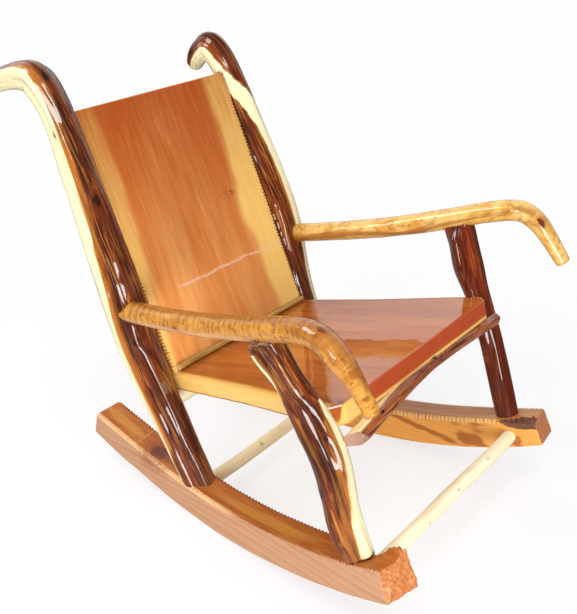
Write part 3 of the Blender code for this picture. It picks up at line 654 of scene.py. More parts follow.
class WoodRack:
    """Every finish of the chair, each material made once."""

    HEART = WoodFinish(
        "post_heartwood", Figure.STREAKED, (0.045, 0.010, 0.005), (0.26, 0.045, 0.009), (0.68, 0.26, 0.042),
        (0.95, 0.85, 0.52), (0.55, 0.24, 0.05), (0.030, 0.009, 0.005), stain=(0.50, 0.175, 0.025), stain_share=0.62,
        across=88.0, lengthways=5.5, patchy=0.6, uneven=0.22, dull=0.3)
    DEEP_HEART = replace(
        HEART, name="red_heartwood", dark=(0.065, 0.008, 0.003), mid=(0.20, 0.026, 0.006), light=(0.40, 0.085, 0.018))
    RAIL = WoodFinish(
        "rail_heartwood", Figure.STREAKED, (0.11, 0.020, 0.008), (0.46, 0.115, 0.026), (0.74, 0.29, 0.07),
        (0.90, 0.71, 0.37), (0.56, 0.27, 0.07), (0.030, 0.010, 0.006), across=85.0, lengthways=9.0,
        dull=0.3)
    BURL = WoodFinish(
        "right_arm_burl", Figure.BURLED, (0.38, 0.130, 0.016), (0.59, 0.245, 0.036), (0.77, 0.40, 0.09),
        (0.76, 0.42, 0.19), (0.56, 0.26, 0.06), (0.16, 0.028, 0.012), (0.12, 0.036, 0.009),
        (0.26, 0.078, 0.016), 0.6, across=17.0, lengthways=125.0, patchy=0.5, uneven=1.1, soft=0.6,
        dull=0.3, relief=0.0004)
    GOLD_BURL = WoodFinish(
        "left_arm_burl", Figure.BURLED, (0.57, 0.27, 0.045), (0.78, 0.45, 0.11), (0.89, 0.63, 0.23),
        (0.80, 0.52, 0.22), (0.56, 0.28, 0.06), (0.17, 0.028, 0.012), (0.26, 0.095, 0.018),
        (0.32, 0.120, 0.022), 0.75, across=26.0, lengthways=34.0, patchy=0.55, uneven=0.9, soft=0.4,
        dull=0.3, marked=0.5)
    BACK = WoodFinish(
        "back_cedar", Figure.SAWN, (0.60, 0.160, 0.027), (0.78, 0.285, 0.070), (0.88, 0.41, 0.128),
        (0.95, 0.60, 0.17), (0.72, 0.31, 0.06), (0.06, 0.018, 0.008), (0.07, 0.03, 0.012),
        (0.34, 0.054, 0.006), 0.95, across=22.0, lengthways=3.6, ring_spacing=0.021, pith=(0.03, 0.31, 0.2),
        late=0.14, patchy=0.5, uneven=0.32, soft=0.8, dull=0.35, coat=0.36, gloss=0.16, relief=0.00008,
        lined=0.3, veined=0.13, cut=(0.166, -0.02, 0.016, 0.0055, -0.14, -1.0), pits=(0.110, -0.014, 0.325))
    SEAT = WoodFinish(
        "seat_cedar", Figure.SAWN, (0.28, 0.048, 0.005), (0.40, 0.088, 0.010), (0.54, 0.165, 0.024),
        (0.88, 0.54, 0.15), (0.64, 0.28, 0.05), (0.05, 0.015, 0.008), (0.10, 0.03, 0.01),
        (0.44, 0.060, 0.018), 0.85, across=24.0, lengthways=2.4, ring_spacing=0.012, pith=(-0.05, 0.28, 0.1),
        late=0.3, uneven=0.35, soft=0.3, dull=0.3, gloss=0.015, relief=0.00003)
    ROCKER = WoodFinish(
        "right_rocker_wood", Figure.SAWN, (0.28, 0.064, 0.011), (0.42, 0.110, 0.018), (0.55, 0.200, 0.040),
        (0.52, 0.280, 0.152), (0.34, 0.135, 0.055), (0.15, 0.042, 0.026), (0.10, 0.03, 0.01),
        (0.58, 0.275, 0.050), 0.55, across=46.0, lengthways=3.4, ring_spacing=0.0150, pith=(0.10, -0.16, 0.4),
        uneven=0.25, soft=0.3, dull=0.45, coat=0.35, gloss=0.18, relief=0.00025, lined=0.85, fresh=(0.80, 0.52, 0.25),
        cut=(0.2185, -0.10, 0.006, 0.0018, -1.0, 1.0))
    GOLD_ROCKER = WoodFinish(
        "left_rocker_wood", Figure.SAWN, (0.32, 0.115, 0.036), (0.46, 0.180, 0.060), (0.58, 0.29, 0.10),
        (0.80, 0.375, 0.085), (0.58, 0.22, 0.045), (0.15, 0.062, 0.036), (0.10, 0.03, 0.01),
        (0.36, 0.105, 0.024), 0.85, across=46.0, lengthways=3.4, ring_spacing=0.0085, pith=(0.10, -0.16, 0.4),
        uneven=0.8, soft=0.25, dull=0.4, coat=0.5, gloss=0.12, relief=0.00025, lined=0.55,
        fresh=(0.80, 0.50, 0.20))
    STICK = WoodFinish(
        "peeled_stick", Figure.PEELED, (0.82, 0.66, 0.38), (0.92, 0.81, 0.53), (0.95, 0.88, 0.66),
        (0.92, 0.80, 0.55), (0.72, 0.56, 0.27), (0.34, 0.23, 0.09), (0.26, 0.18, 0.07), across=70.0,
        lengthways=5.0, dull=0.45, coat=0.3, gloss=0.15)
    BATTEN = WoodFinish(
        "batten_stick", Figure.STREAKED, (0.36, 0.18, 0.04), (0.60, 0.36, 0.09), (0.76, 0.52, 0.18),
        (0.75, 0.58, 0.28), (0.40, 0.22, 0.06), (0.10, 0.05, 0.02), across=120.0, lengthways=6.0,
        dull=0.35, coat=0.6)
    PLANK_END = EndFinish("plank_end", (0.20, 0.060, 0.014), (0.09, 0.025, 0.008), (0.28, 0.10, 0.03), 0.006)
    RAIL_END = EndFinish("rail_end", (0.46, 0.25, 0.16), (0.26, 0.12, 0.07), (0.56, 0.36, 0.27))
    BRANCH_END = EndFinish("branch_end", (0.62, 0.40, 0.20), (0.36, 0.17, 0.06), (0.48, 0.26, 0.12))
    PALE_END = EndFinish("peeled_end", (0.84, 0.68, 0.42), (0.60, 0.40, 0.18), (0.74, 0.56, 0.32))
    ROCKER_END = EndFinish("right_rocker_end", (0.56, 0.185, 0.055), (0.36, 0.075, 0.022), (0.68, 0.31, 0.12),
                           0.0085, (0.045, -0.02, 0.0), 0.0009, 0.7)
    LEFT_ROCKER_END = EndFinish("left_rocker_end", (0.50, 0.18, 0.070), (0.30, 0.085, 0.03), (0.58, 0.26, 0.12),
                                0.0085, (0.045, -0.02, 0.0), 0.0005)
    STEEL = FastenerFinish(
        "screw_steel", (0.40, 0.39, 0.37), (0.62, 0.61, 0.58), (900.0, 900.0, 60.0), 0.25, 0.22, 1.0)
    DOWEL = FastenerFinish("dowel_wood", (0.58, 0.40, 0.19), (0.74, 0.55, 0.30), (90.0, 400.0, 400.0), 0.2, 0.5)

    def __init__(self) -> None:
        """Make the shared effects and the plain finishes."""
        self.effects = Effects()
        self.made: dict[str, Material] = {}
        self.steel = self.STEEL.material()
        self.dowel = self.DOWEL.material()

    def take(self, finish: WoodFinish | EndFinish) -> Material:
        """The material of a finish, made the first time it is asked for.

        Args:
            finish: The finish.

        Returns:
            Its material.
        """
        if finish.name not in self.made:
            self.made[finish.name] = finish.material(self.effects)
        return self.made[finish.name]


@dataclass(frozen=True)
class Knot:
    """A knot on a branch: its place, its size, how far it swells the surface, and whether it is healed over."""

    at: float
    turn: float
    size: float
    lift: float
    blind: bool = False

    def swell(self, far: float) -> float:
        """How far it lifts the surface, given the distance from it in knot sizes."""
        return self.lift * (math.exp(-((far / 1.4) ** 2)) - 0.45 * math.exp(-((far / 0.55) ** 2)))


@dataclass
class Marks:
    """The attributes that a piece's vertices carry for its finish."""

    shape: Shape

    def __post_init__(self) -> None:
        """Add the layers to the shape."""
        layers = self.shape.verts.layers
        self.fibre = layers.float_vector.new("fibre")
        self.sap, self.stain, self.knot, self.hewn = (layers.float.new(name) for name in MASKS)

    def write(self, vert: bmesh.types.BMVert, fibre: Vector, sap: float, stain: float, knot: float,
              hewn: float) -> None:
        """Write what one vertex carries.

        Args:
            vert: The vertex.
            fibre: Its place in straight wood, z along the fibre.
            sap: How far inside the sapwood it lies, from -1 to 1.
            stain: How far inside wood of a third tone it lies, from -1 to 1.
            knot: Its distance from the nearest knot, in knot sizes.
            hewn: The depth of a cut notch there, from 0 to 1.
        """
        vert[self.fibre] = fibre
        vert[self.sap] = limit(sap, -1.0)
        vert[self.stain] = limit(stain, -1.0)
        vert[self.knot] = min(knot, KNOT_REACH)
        vert[self.hewn] = hewn


def mark_ends(shape: Shape) -> None:
    """Give the faces that look along z the finish of end grain.

    Args:
        shape: A straight branch or board, along z.
    """
    for face in shape.faces:
        if abs(face.normal.z) > END_FACING:
            face.material_index = END_GRAIN


def put_in_scene(shape: Shape, finishes: Sequence[Material], node: str, crease: float) -> None:
    """Make a finished piece of a shape, in the place of a node of the frame.

    Args:
        shape: The finished shape, freed here.
        finishes: Materials, in the order of the faces' numbers.
        node: The node that the piece stands for.
        crease: The angle above which an edge stays sharp, in degrees.
    """
    name = node + "_wood"
    bmesh.ops.recalc_face_normals(shape, faces=shape.faces)
    mesh = bpy.data.meshes.new(name)
    shape.to_mesh(mesh)
    shape.free()
    mesh.shade_smooth()
    mesh.set_sharp_from_angle(angle=math.radians(crease))
    for finish in finishes:
        mesh.materials.append(finish)
    piece = bpy.data.objects.new(name, mesh)
    bpy.context.scene.collection.objects.link(piece)
    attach(piece, BODY)
    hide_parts(node)
    LOG.info("%s: %d faces in place of %s", name, len(mesh.polygons), node)


class Route:
    """A smooth axis through stations of x, y, z and radius, with two directions across it at each point."""

    STEP = 0.002

    def __init__(self, stations: Sequence[Station], toward: Vector, above: Vector) -> None:
        """Lay the axis.

        Args:
            stations: Points with radii.
            toward: The direction that a turn of 0 faces.
            above: The direction that a quarter turn faces.
        """
        points = [Vector(station) for station in stations]
        ends = [2 * points[0] - points[1]] + points + [2 * points[-1] - points[-2]]
        fine: list[Vector] = []
        for a, b, c, d in zip(ends, ends[1:], ends[2:], ends[3:]):
            count = max(2, round((c - b).to_3d().length / self.STEP))
            for index in range(count):
                t = index / count
                here = 2 * b + (c - a) * t + (2 * a - 5 * b + 4 * c - d) * t**2 + (3 * b - a - 3 * c + d) * t**3
                fine.append(here / 2)
        fine.append(points[-1])
        self.points = fine
        self.reach = [0.0]
        for a, b in zip(fine, fine[1:]):
            self.reach.append(self.reach[-1] + (b - a).to_3d().length)
        self.length = self.reach[-1]
        self.toward = toward
        first = (fine[1] - fine[0]).to_3d()
        self.hand = 1.0 if first.cross(toward).dot(above) > 0 else -1.0

    def at(self, share: float) -> tuple[Vector, Vector, Vector, float]:
        """Read the axis.

        Args:
            share: The place from 0 at its start to 1 at its end.

        Returns:
            The point, the directions of turns 0 and 90, and the radius.
        """
        want = share * self.length
        low, high = 0, len(self.reach) - 1
        while high - low > 1:
            middle = (low + high) // 2
            if self.reach[middle] <= want:
                low = middle
            else:
                high = middle
        span = self.reach[high] - self.reach[low]
        here = self.points[low].lerp(self.points[high], (want - self.reach[low]) / span)
        before = self.points[max(low - 2, 0)].to_3d()
        after = self.points[min(high + 2, len(self.points) - 1)].to_3d()
        run = (after - before).normalized()
        side = (self.toward - run * self.toward.dot(run)).normalized()
        return here.to_3d(), side, run.cross(side) * self.hand, here[3]


@dataclass
class Branch:
    """A peeled branch on a route, with flutes, lumps, knots and sapwood.

    Flats are rows of place, facing, depth and spread; swells are rows of place, facing, height, spread and
    half width. Places are shares of the length, and facings are turns in degrees.
    """

    name: str
    stations: Sequence[Station]
    toward: Vector
    above: Vector
    slot: str
    finish: WoodFinish
    end_finish: EndFinish
    lobes: Sequence[Lobe] = ()
    twist: float = 0.0
    flute: float = 0.0
    lump: float = 0.03
    wrinkle: float = 0.0
    knots: Sequence[Knot] = ()
    ribbons: Sequence[Ribbon] = ()
    stains: Sequence[Ribbon] = ()
    swells: Sequence[Swell] = ()
    flats: Sequence[Flat] = ()
    sides: int = 64
    ring: float = 0.0030
    ease: float = 0.003
    seed: float = 0.0
    saws: Sequence[Plane] = ()
    beside: Callable[[Vector], Vector] | None = None
    soft_flat: float = 0.0008
    flat_limit: float = 0.3
    ribbon_edge: float = 0.012
    cap_rings: int = 3
    cap_step: float = 0.25
    crease: float = 50.0

    def build(self, rack: WoodRack) -> None:
        """Model the branch and put it in the place of its node.

        Args:
            rack: The finishes.
        """
        route = Route(self.stations, self.toward, self.above)
        shape = self._cylinder(max(8, round(route.length / self.ring)))
        marks = Marks(shape)
        rows: dict[float, tuple[Vector, Vector, Vector, float]] = {}
        for vert in shape.verts:
            share = limit(vert.co.z + 0.5)
            turn = math.atan2(vert.co.y, vert.co.x)
            inward = math.hypot(vert.co.x, vert.co.y)
            key = round(share, 6)
            if key not in rows:
                rows[key] = route.at(share)
            point, side, lift, radius = rows[key]
            reach, knot = self._skin(route.length, share, turn, radius)
            reach *= inward * self._rounding(route.length, share, radius)
            vert.co = point + side * (reach * math.cos(turn)) + lift * (reach * math.sin(turn))
            if self.beside:
                vert.co = self.beside(vert.co)
            spun = turn + self.twist * share
            fibre = Vector((reach * math.cos(spun), reach * math.sin(spun), share * route.length + self.seed))
            sap, stain = (self._inside(bands, share, turn, radius) for bands in (self.ribbons, self.stains))
            marks.write(vert, fibre, sap, stain, knot, 0.0)
        for point, normal in self.saws:
            self._saw(shape, point, normal)
        finishes = [rack.take(self.finish), rack.take(self.end_finish)]
        put_in_scene(shape, finishes, self.name, self.crease)

    def _cylinder(self, rings: int) -> Shape:
        """A straight unit branch with even rings and stepped ends.

        Args:
            rings: How many rows of faces it has.

        Returns:
            The shape, along z.
        """
        shape = bmesh.new()
        bmesh.ops.create_cone(shape, cap_ends=True, segments=self.sides, radius1=1.0, radius2=1.0, depth=1.0)
        long_edges = [edge for edge in shape.edges if abs(edge.verts[0].co.z - edge.verts[1].co.z) > 0.5]
        bmesh.ops.subdivide_edges(shape, edges=long_edges, cuts=rings - 1, use_grid_fill=True)
        caps = [face for face in shape.faces if len(face.verts) > 4]
        for face in caps:
            face.material_index = END_GRAIN
        for _ in range(self.cap_rings):
            bmesh.ops.inset_individual(shape, faces=caps, thickness=self.cap_step, use_even_offset=False)
        mark_ends(shape)
        return shape

    @staticmethod
    def _saw(shape: Shape, point: Vector, normal: Vector) -> None:
        """Saw off what lies beyond a plane and close the cut.

        Args:
            shape: The shape.
            point: A point of the plane.
            normal: The direction beyond it.
        """
        whole = shape.verts[:] + shape.edges[:] + shape.faces[:]
        cut = bmesh.ops.bisect_plane(shape, geom=whole, dist=0.00002, plane_co=point, plane_no=normal,
                                     clear_outer=True)
        rim = [item for item in cut["geom_cut"] if isinstance(item, bmesh.types.BMEdge)]
        for face in bmesh.ops.edgeloop_fill(shape, edges=rim)["faces"]:
            face.material_index = END_GRAIN

    def _rounding(self, length: float, share: float, radius: float) -> float:
        """How much the ends are eased at a place."""
        near = limit(min(share, 1.0 - share) * length / self.ease)
        return 1.0 - self.ease * (1.0 - math.sqrt(near)) / radius

    def _skin(self, length: float, share: float, turn: float, radius: float) -> tuple[float, float]:
        """The surface's distance from the axis.

        Args:
            length: The branch's length.
            share: The place along it.
            turn: The direction round it.
            radius: The axis's radius there.

        Returns:
            The distance, and the distance to the nearest knot in knot sizes.
        """
        spun = turn + self.twist * share
        here = share * length
        reach = radius * (1.0 + sum(size * math.cos(count * spun + phase) for count, size, phase in self.lobes))
        for place, facing, depth, spread in self.flats:
            face = max(math.cos(turn - math.radians(facing)), self.flat_limit)
            over = max(reach - radius * (1.0 - depth) / face, 0.0)
            near = math.exp(-((here - place * length) / spread) ** 4)
            reach -= near * over * over / (over + self.soft_flat)
        grow = self._growth(here, turn, spun)
        for place, facing, size, spread, width in self.swells:
            near = math.exp(-((here - place * length) / spread) ** 2)
            face = math.cos(turn - math.radians(facing))
            grow += size / radius * near * fade(math.cos(math.radians(width)), 1.0, face)
        reach += radius * grow
        nearest = NO_KNOT
        for knot in self.knots:
            swing = (turn - math.radians(knot.turn) + math.pi) % math.tau - math.pi
            far = math.hypot((here - knot.at * length) / 1.8, radius * swing) / knot.size
            if far < KNOT_REACH:
                reach += knot.swell(far)
            if not knot.blind:
                nearest = min(nearest, far)
        return reach, nearest

    def _growth(self, here: float, turn: float, spun: float) -> float:
        """How far flutes, lumps and wrinkles lift the surface.

        Args:
            here: The length along the branch.
            turn: The direction round it.
            spun: The direction round it, with the twist of the fibre.

        Returns:
            The share of the radius.
        """
        def bump(across: float, lengthways: float, shift: float = 0.0) -> float:
            """An uneven value at this place, finer with larger scales."""
            return rough(
                math.cos(spun) * across, math.sin(spun) * across, here * lengthways + self.seed + shift)

        grow = 0.0
        if self.flute:
            grow += self.flute * (0.5 - 1.6 * abs(bump(2.6, 4.0)))
            grow += 0.25 * self.flute * bump(6.5, 9.0, 5.0)
        grow += self.lump * bump(0.9, 16.0)
        grow += 0.15 * self.lump * bump(2.4, 60.0)
        if self.wrinkle:
            grow += self.wrinkle * (0.4 - abs(bump(1.3, 120.0))) * fade(-0.5, 0.6, math.sin(turn))
        return grow

    def _inside(self, ribbons: Sequence[Ribbon], share: float, turn: float, radius: float) -> float:
        """How far inside ribbons of another wood a place lies, from -1 to 1.

        Args:
            ribbons: Rows of place and the two turns between which the other wood lies.
            share: The place along it, from 0 to 1.
            turn: The direction round it.
            radius: The axis's radius there.

        Returns:
            The value, above 0 inside.
        """
        best = -1.0
        for ribbon in ribbons:
            if not ribbon[0][0] <= share <= ribbon[-1][0]:
                continue
            low, high = along(ribbon, share)
            middle, half = math.radians((low + high) / 2), math.radians((high - low) / 2)
            swing = abs((turn - middle + math.pi) % math.tau - math.pi)
            best = max(best, (half - swing) * radius / self.ribbon_edge)
        return best


@dataclass
class BackPosts:
    """The two fluted back posts with their hooked tops."""

    axis: Sequence[Station] = (
        (0.2522, -0.0011, 0.0624, 0.0330),
        (0.2600, 0.0676, 0.2052, 0.0362),
        (0.2684, 0.1406, 0.3570, 0.0400),
        (0.2725, 0.1720, 0.4500, 0.0430),
        (0.2736, 0.2020, 0.5400, 0.0430),
        (0.2701, 0.2758, 0.7070, 0.0375),
        (0.2669, 0.3492, 0.8600, 0.0325),
    )
    right_hook: Sequence[Station] = (
        (0.2669, 0.4036, 0.9282, 0.0340),
        (0.2669, 0.4456, 0.9362, 0.0300),
        (0.2669, 0.4976, 0.9262, 0.0250),
        (0.2669, 0.5776, 0.9012, 0.0210),
    )
    left_hook: Sequence[Station] = (
        (0.2669, 0.3976, 0.9142, 0.0335),
        (0.2669, 0.4276, 0.9062, 0.0290),
        (0.2669, 0.4516, 0.8852, 0.0240),
        (0.2669, 0.4656, 0.8602, 0.0170),
    )
    lobes: Sequence[Lobe] = ((2, 0.05, 0.4), (3, 0.075, 1.1), (5, 0.045, 0.0))
    right_sap: Ribbon = (
        (0.03, -100.0, -16.0), (0.12, -110.0, -4.0), (0.22, -120.0, -6.0), (0.35, -125.0, -8.0), (0.50, -130.0, 0.0),
        (0.58, -130.0, 20.0), (0.67, -130.0, 24.0), (0.76, -130.0, 26.0), (0.83, -130.0, 32.0), (0.87, -130.0, 42.0),
        (1.0, -135.0, 50.0))
    right_gold: Ribbon = (
        (0.10, -10.0, 6.0), (0.30, -12.0, 10.0), (0.50, -4.0, 22.0), (0.57, 16.0, 44.0), (0.67, 20.0, 50.0),
        (0.76, 22.0, 60.0), (0.83, 30.0, 66.0), (0.90, 42.0, 70.0))
    left_sap: Ribbon = (
        (0.10, 20.0, 52.0), (0.35, 0.0, 60.0), (0.485, 5.0, 78.0), (0.56, 10.0, 81.0), (0.60, 15.0, 87.0),
        (0.642, 20.0, 90.0), (0.693, 30.0, 99.0), (0.733, 40.0, 117.0), (0.760, 70.0, 135.0), (0.785, 90.0, 157.0),
        (0.800, 104.0, 185.0), (0.823, 126.0, 215.0), (0.850, 150.0, 232.0), (0.88, 165.0, 248.0),
        (1.0, 190.0, 290.0))
    left_gold: Ribbon = ((0.40, 74.0, 84.0), (0.50, 76.0, 92.0), (0.60, 84.0, 94.0), (0.70, 96.0, 106.0))
    right_flats: Sequence[Flat] = (
        (0.79, 38.0, 0.10, 0.060), (0.44, 62.0, 0.10, 0.045), (0.34, 68.0, 0.08, 0.035), (0.155, 58.0, 0.08, 0.050))
    left_flats: Sequence[Flat] = ((0.46, 158.0, 0.10, 0.050), (0.66, 150.0, 0.08, 0.040))
    right_knots: Sequence[Knot] = (
        Knot(0.60, 73.0, 0.010, 0.004), Knot(0.735, 5.0, 0.0026, 0.0006), Knot(0.33, 40.0, 0.006, 0.002),
        Knot(0.83, 80.0, 0.008, 0.003))
    left_knots: Sequence[Knot] = (
        Knot(0.50, 140.0, 0.009, 0.003, True), Knot(0.86, 110.0, 0.012, 0.003, True), Knot(0.30, 160.0, 0.006, 0.002))
    foot_behind: float = 0.008
    clearance: float = 0.0004
    notch_room: float = 0.007
    margin: float = 0.002

    def _beside_plank(self, point: Vector) -> Vector:
        """Keep a post's surface out of the back plank's place.

        Args:
            point: A point of a post's surface.

        Returns:
            The point, moved if need be.
        """
        plank = BackPlank()
        away = point - plank.foot
        rise = away.y * math.sin(plank.rake) + away.z * math.cos(plank.rake)
        deep = away.y * math.cos(plank.rake) - away.z * math.sin(plank.rake)
        if not 0.0 < rise < plank.height + 2 * self.margin:
            return point
        half = blend(plank.foot_width, plank.top_width, rise / plank.height) / 2 + self.clearance
        beside = -self.margin < deep < plank.thickness + self.margin
        if abs(point.x) >= half + (self.notch_room if beside else 0.0):
            return point
        return Vector((math.copysign(half, point.x), point.y, point.z))

    def build(self, rack: WoodRack) -> None:
        """Model both posts.

        Args:
            rack: The finishes.
        """
        plans = {
            Side.RIGHT: (
                self.right_hook, 1.1, self.right_sap, self.right_gold, 0.0, self.right_flats, self.right_knots),
            Side.LEFT: (self.left_hook, -2.0, self.left_sap, self.left_gold, 7.0, self.left_flats, self.left_knots),
        }
        for side, (hook, twist, sap, gold, seed, flats, knots) in plans.items():
            stations = [(side.value * x, y, z, r) for x, y, z, r in (*self.axis, *hook)]
            foot = Rockers().top_cut(side, stations[0][1] + self.foot_behind)
            Branch(
                side.word + "_back_post", stations, side.out, FRONT, "back_post_wood", rack.HEART, rack.BRANCH_END,
                self.lobes, twist, 0.06, 0.02, knots=knots, ribbons=(sap,), stains=(gold,), flats=flats, sides=88,
                seed=seed, saws=(foot,), beside=self._beside_plank).build(rack)


@dataclass
class FrontPosts:
    """The two shorter posts between rockers and arms."""

    right_axis: Sequence[Station] = (
        (-0.3101, -0.4772, 0.1455, 0.0265),
        (-0.3138, -0.4346, 0.2415, 0.0300),
        (-0.3177, -0.4036, 0.3425, 0.0335),
        (-0.3214, -0.3494, 0.4394, 0.0330),
        (-0.3370, -0.3148, 0.5109, 0.0265),
        (-0.3525, -0.2781, 0.5825, 0.0305),
    )
    left_axis: Sequence[Station] = (
        (0.3104, -0.4760, 0.1455, 0.0250),
        (0.3124, -0.4406, 0.2415, 0.0260),
        (0.3146, -0.4026, 0.3425, 0.0260),
        (0.3168, -0.3594, 0.4394, 0.0270),
        (0.3346, -0.3208, 0.5109, 0.0295),
        (0.3525, -0.2781, 0.5825, 0.0325),
    )
    lobes: Sequence[Lobe] = ((3, 0.05, 1.1), (5, 0.045, 0.0))
    right_sap: Ribbon = (
        (0.03, 42.0, 150.0), (0.13, 50.0, 150.0), (0.31, 72.0, 155.0), (0.50, 86.0, 150.0), (0.62, 90.0, 135.0),
        (0.70, 98.0, 112.0))
    right_gold: Ribbon = (
        (0.03, -10.0, 52.0), (0.13, 4.0, 60.0), (0.32, 38.0, 80.0), (0.52, 62.0, 92.0), (0.62, 72.0, 94.0))
    right_flank: Ribbon = ((0.0, -80.0, -48.0), (0.10, -76.0, -52.0), (0.19, -66.0, -58.0))
    right_stub_sap: Ribbon = (
        (0.70, -60.0, -48.0), (0.78, -85.0, -30.0), (0.86, -90.0, -24.0), (0.97, -95.0, -28.0))
    right_flats: Sequence[Flat] = (
        (0.833, 70.0, 0.10, 0.040), (0.62, 48.0, 0.10, 0.045), (0.50, 51.0, 0.10, 0.045), (0.38, 46.0, 0.08, 0.040))
    right_swells: Sequence[Swell] = (
        (0.94, -60.0, 0.009, 0.055, 60.0), (0.53, 118.0, 0.006, 0.070, 80.0), (0.13, -50.0, 0.010, 0.075, 70.0))
    left_swells: Sequence[Swell] = ((0.97, 180.0, 0.003, 0.02, 180.0), (0.79, 215.0, 0.011, 0.055, 75.0))
    right_knots: Sequence[Knot] = (
        Knot(0.34, -22.0, 0.008, 0.003), Knot(0.16, -5.0, 0.012, 0.003, True), Knot(0.55, 60.0, 0.004, 0.002))
    left_knots: Sequence[Knot] = (Knot(0.80, 128.0, 0.010, 0.004, True), Knot(0.25, 150.0, 0.010, 0.002, True))
    foot: float = -0.470
    bite: float = 0.002
    saddle: float = 0.62

    def _under_arm(self, point: Vector) -> Vector:
        """Let a post's top run into the arm that lies on it.

        Args:
            point: A point of a post's surface.

        Returns:
            The point, moved if need be.
        """
        arms = Arms()
        stations = arms.right_axis if point.x < 0.0 else arms.left_axis
        low, high = Vector(stations[2]), Vector(stations[4])
        run = (high - low).to_3d()
        share = (point - low.to_3d()).dot(run) / run.length_squared
        foot = low.lerp(high, share)
        away = point - foot.to_3d()
        reach = foot[3] - self.bite
        if away.length <= reach or away.z < -self.saddle * away.length:
            return point
        return foot.to_3d() + away * (reach / away.length)

    def build(self, rack: WoodRack) -> None:
        """Model both posts.

        Args:
            rack: The finishes.
        """
        plans = {
            Side.RIGHT: (
                self.right_axis, rack.HEART, 0.06, self.right_knots, (self.right_sap, self.right_stub_sap),
                (self.right_gold, self.right_flank), self.right_swells, self.right_flats, 3.0),
            Side.LEFT: (self.left_axis, rack.DEEP_HEART, 0.045, self.left_knots, (), (), self.left_swells, (), 11.0),
        }
        for side, (axis, finish, flute, knots, ribbons, stains, swells, flats, seed) in plans.items():
            Branch(
                side.word + "_front_post", axis, side.out, FRONT, "front_post_wood", finish, rack.BRANCH_END,
                self.lobes, 0.7, flute, 0.035, knots=knots, ribbons=ribbons, stains=stains, swells=swells, flats=flats,
                sides=76, seed=seed, saws=(Rockers().top_cut(side, self.foot),), beside=self._under_arm).build(rack)


@dataclass
class Arms:
    """The two figured arms with their drooping grips."""

    right_axis: Sequence[Station] = (
        (-0.2827, 0.1780, 0.4680, 0.0235),
        (-0.3072, 0.0184, 0.5062, 0.0235),
        (-0.3316, -0.1413, 0.5524, 0.0235),
        (-0.3525, -0.2781, 0.6000, 0.0235),
        (-0.3655, -0.3631, 0.6300, 0.0235),
        (-0.3731, -0.4131, 0.6340, 0.0235),
        (-0.3797, -0.4561, 0.6140, 0.0235),
        (-0.3816, -0.4946, 0.5800, 0.0172),
        (-0.3839, -0.5322, 0.5320, 0.0140),
    )
    left_axis: Sequence[Station] = (
        (0.2827, 0.1780, 0.4680, 0.0235),
        (0.3072, 0.0184, 0.5062, 0.0235),
        (0.3316, -0.1413, 0.5524, 0.0235),
        (0.3525, -0.2781, 0.6000, 0.0235),
        (0.3617, -0.3381, 0.6220, 0.0235),
        (0.3705, -0.3961, 0.6380, 0.0235),
        (0.3777, -0.4310, 0.6360, 0.0235),
        (0.3856, -0.4683, 0.6080, 0.0209),
        (0.3942, -0.5243, 0.5360, 0.0160),
    )
    right_pale: Ribbon = (
        (0.0, -120.0, -24.0), (0.2, -120.0, -22.0), (0.5, -120.0, -26.0), (0.66, -100.0, -50.0))
    right_brown: Ribbon = (
        (0.0, 70.0, 190.0), (0.2, 62.0, 190.0), (0.45, 55.0, 190.0), (0.62, 48.0, 180.0), (0.75, 28.0, 170.0),
        (0.88, 40.0, 160.0), (0.96, 95.0, 130.0))
    right_bend: Ribbon = (
        (0.70, 34.0, 60.0), (0.75, 2.0, 62.0), (0.80, -8.0, 60.0), (0.85, 10.0, 50.0), (0.89, 30.0, 44.0))
    left_brown: Ribbon = (
        (0.02, 185.0, 230.0), (0.25, 165.0, 200.0), (0.45, 205.0, 240.0), (0.60, 180.0, 205.0),
        (0.75, 165.0, 190.0), (0.84, 110.0, 150.0))
    right_knots: Sequence[Knot] = (Knot(0.80, 75.0, 0.006, 0.002), Knot(0.28, -10.0, 0.004, 0.001))
    left_knots: Sequence[Knot] = (Knot(0.865, 135.0, 0.008, 0.003),)

    def build(self, rack: WoodRack) -> None:
        """Model both arms.

        Args:
            rack: The finishes.
        """
        Branch(
            "right_arm", self.right_axis, Side.RIGHT.out, UP, "arm_wood", rack.BURL, rack.PALE_END,
            ((2, 0.02, 0.3), (3, 0.03, 1.0)), 1.4, 0.0, 0.05, 0.06, knots=self.right_knots,
            ribbons=(self.right_pale,), stains=(self.right_brown, self.right_bend), sides=60, seed=21.0).build(rack)
        Branch(
            "left_arm", self.left_axis, Side.LEFT.out, UP, "arm_wood", rack.GOLD_BURL, rack.PALE_END,
            ((2, 0.02, 0.3), (3, 0.025, 1.0)), 3.0, 0.0, 0.045, 0.02, knots=self.left_knots,
            stains=(self.left_brown,), sides=60, seed=33.0).build(rack)


def plank_blank(width: float, thick: float, length: float, cuts: tuple[int, int, int], edge: float) -> Shape:
    """A squared board with eased edges and even rows of faces.

    Args:
        width: Its size in x.
        thick: Its size in y.
        length: Its size in z.
        cuts: Rows cut across x, y and z.
        edge: How far its edges are eased.

    Returns:
        The board, centred on the origin.
    """
    shape = bmesh.new()
    bmesh.ops.create_cube(shape, size=1.0)
    bmesh.ops.scale(shape, vec=(width, thick, length), verts=shape.verts)
    bmesh.ops.bevel(shape, geom=shape.edges[:], offset=edge, offset_type="OFFSET", segments=2, profile=0.5,
                    affect="EDGES", material=-1)
    for axis, size in ((2, length), (0, width), (1, thick)):
        long_edges = [
            item for item in shape.edges if abs(item.verts[0].co[axis] - item.verts[1].co[axis]) > 0.5 * size]
        bmesh.ops.subdivide_edges(shape, edges=long_edges, cuts=cuts[axis], use_grid_fill=True)
    return shape


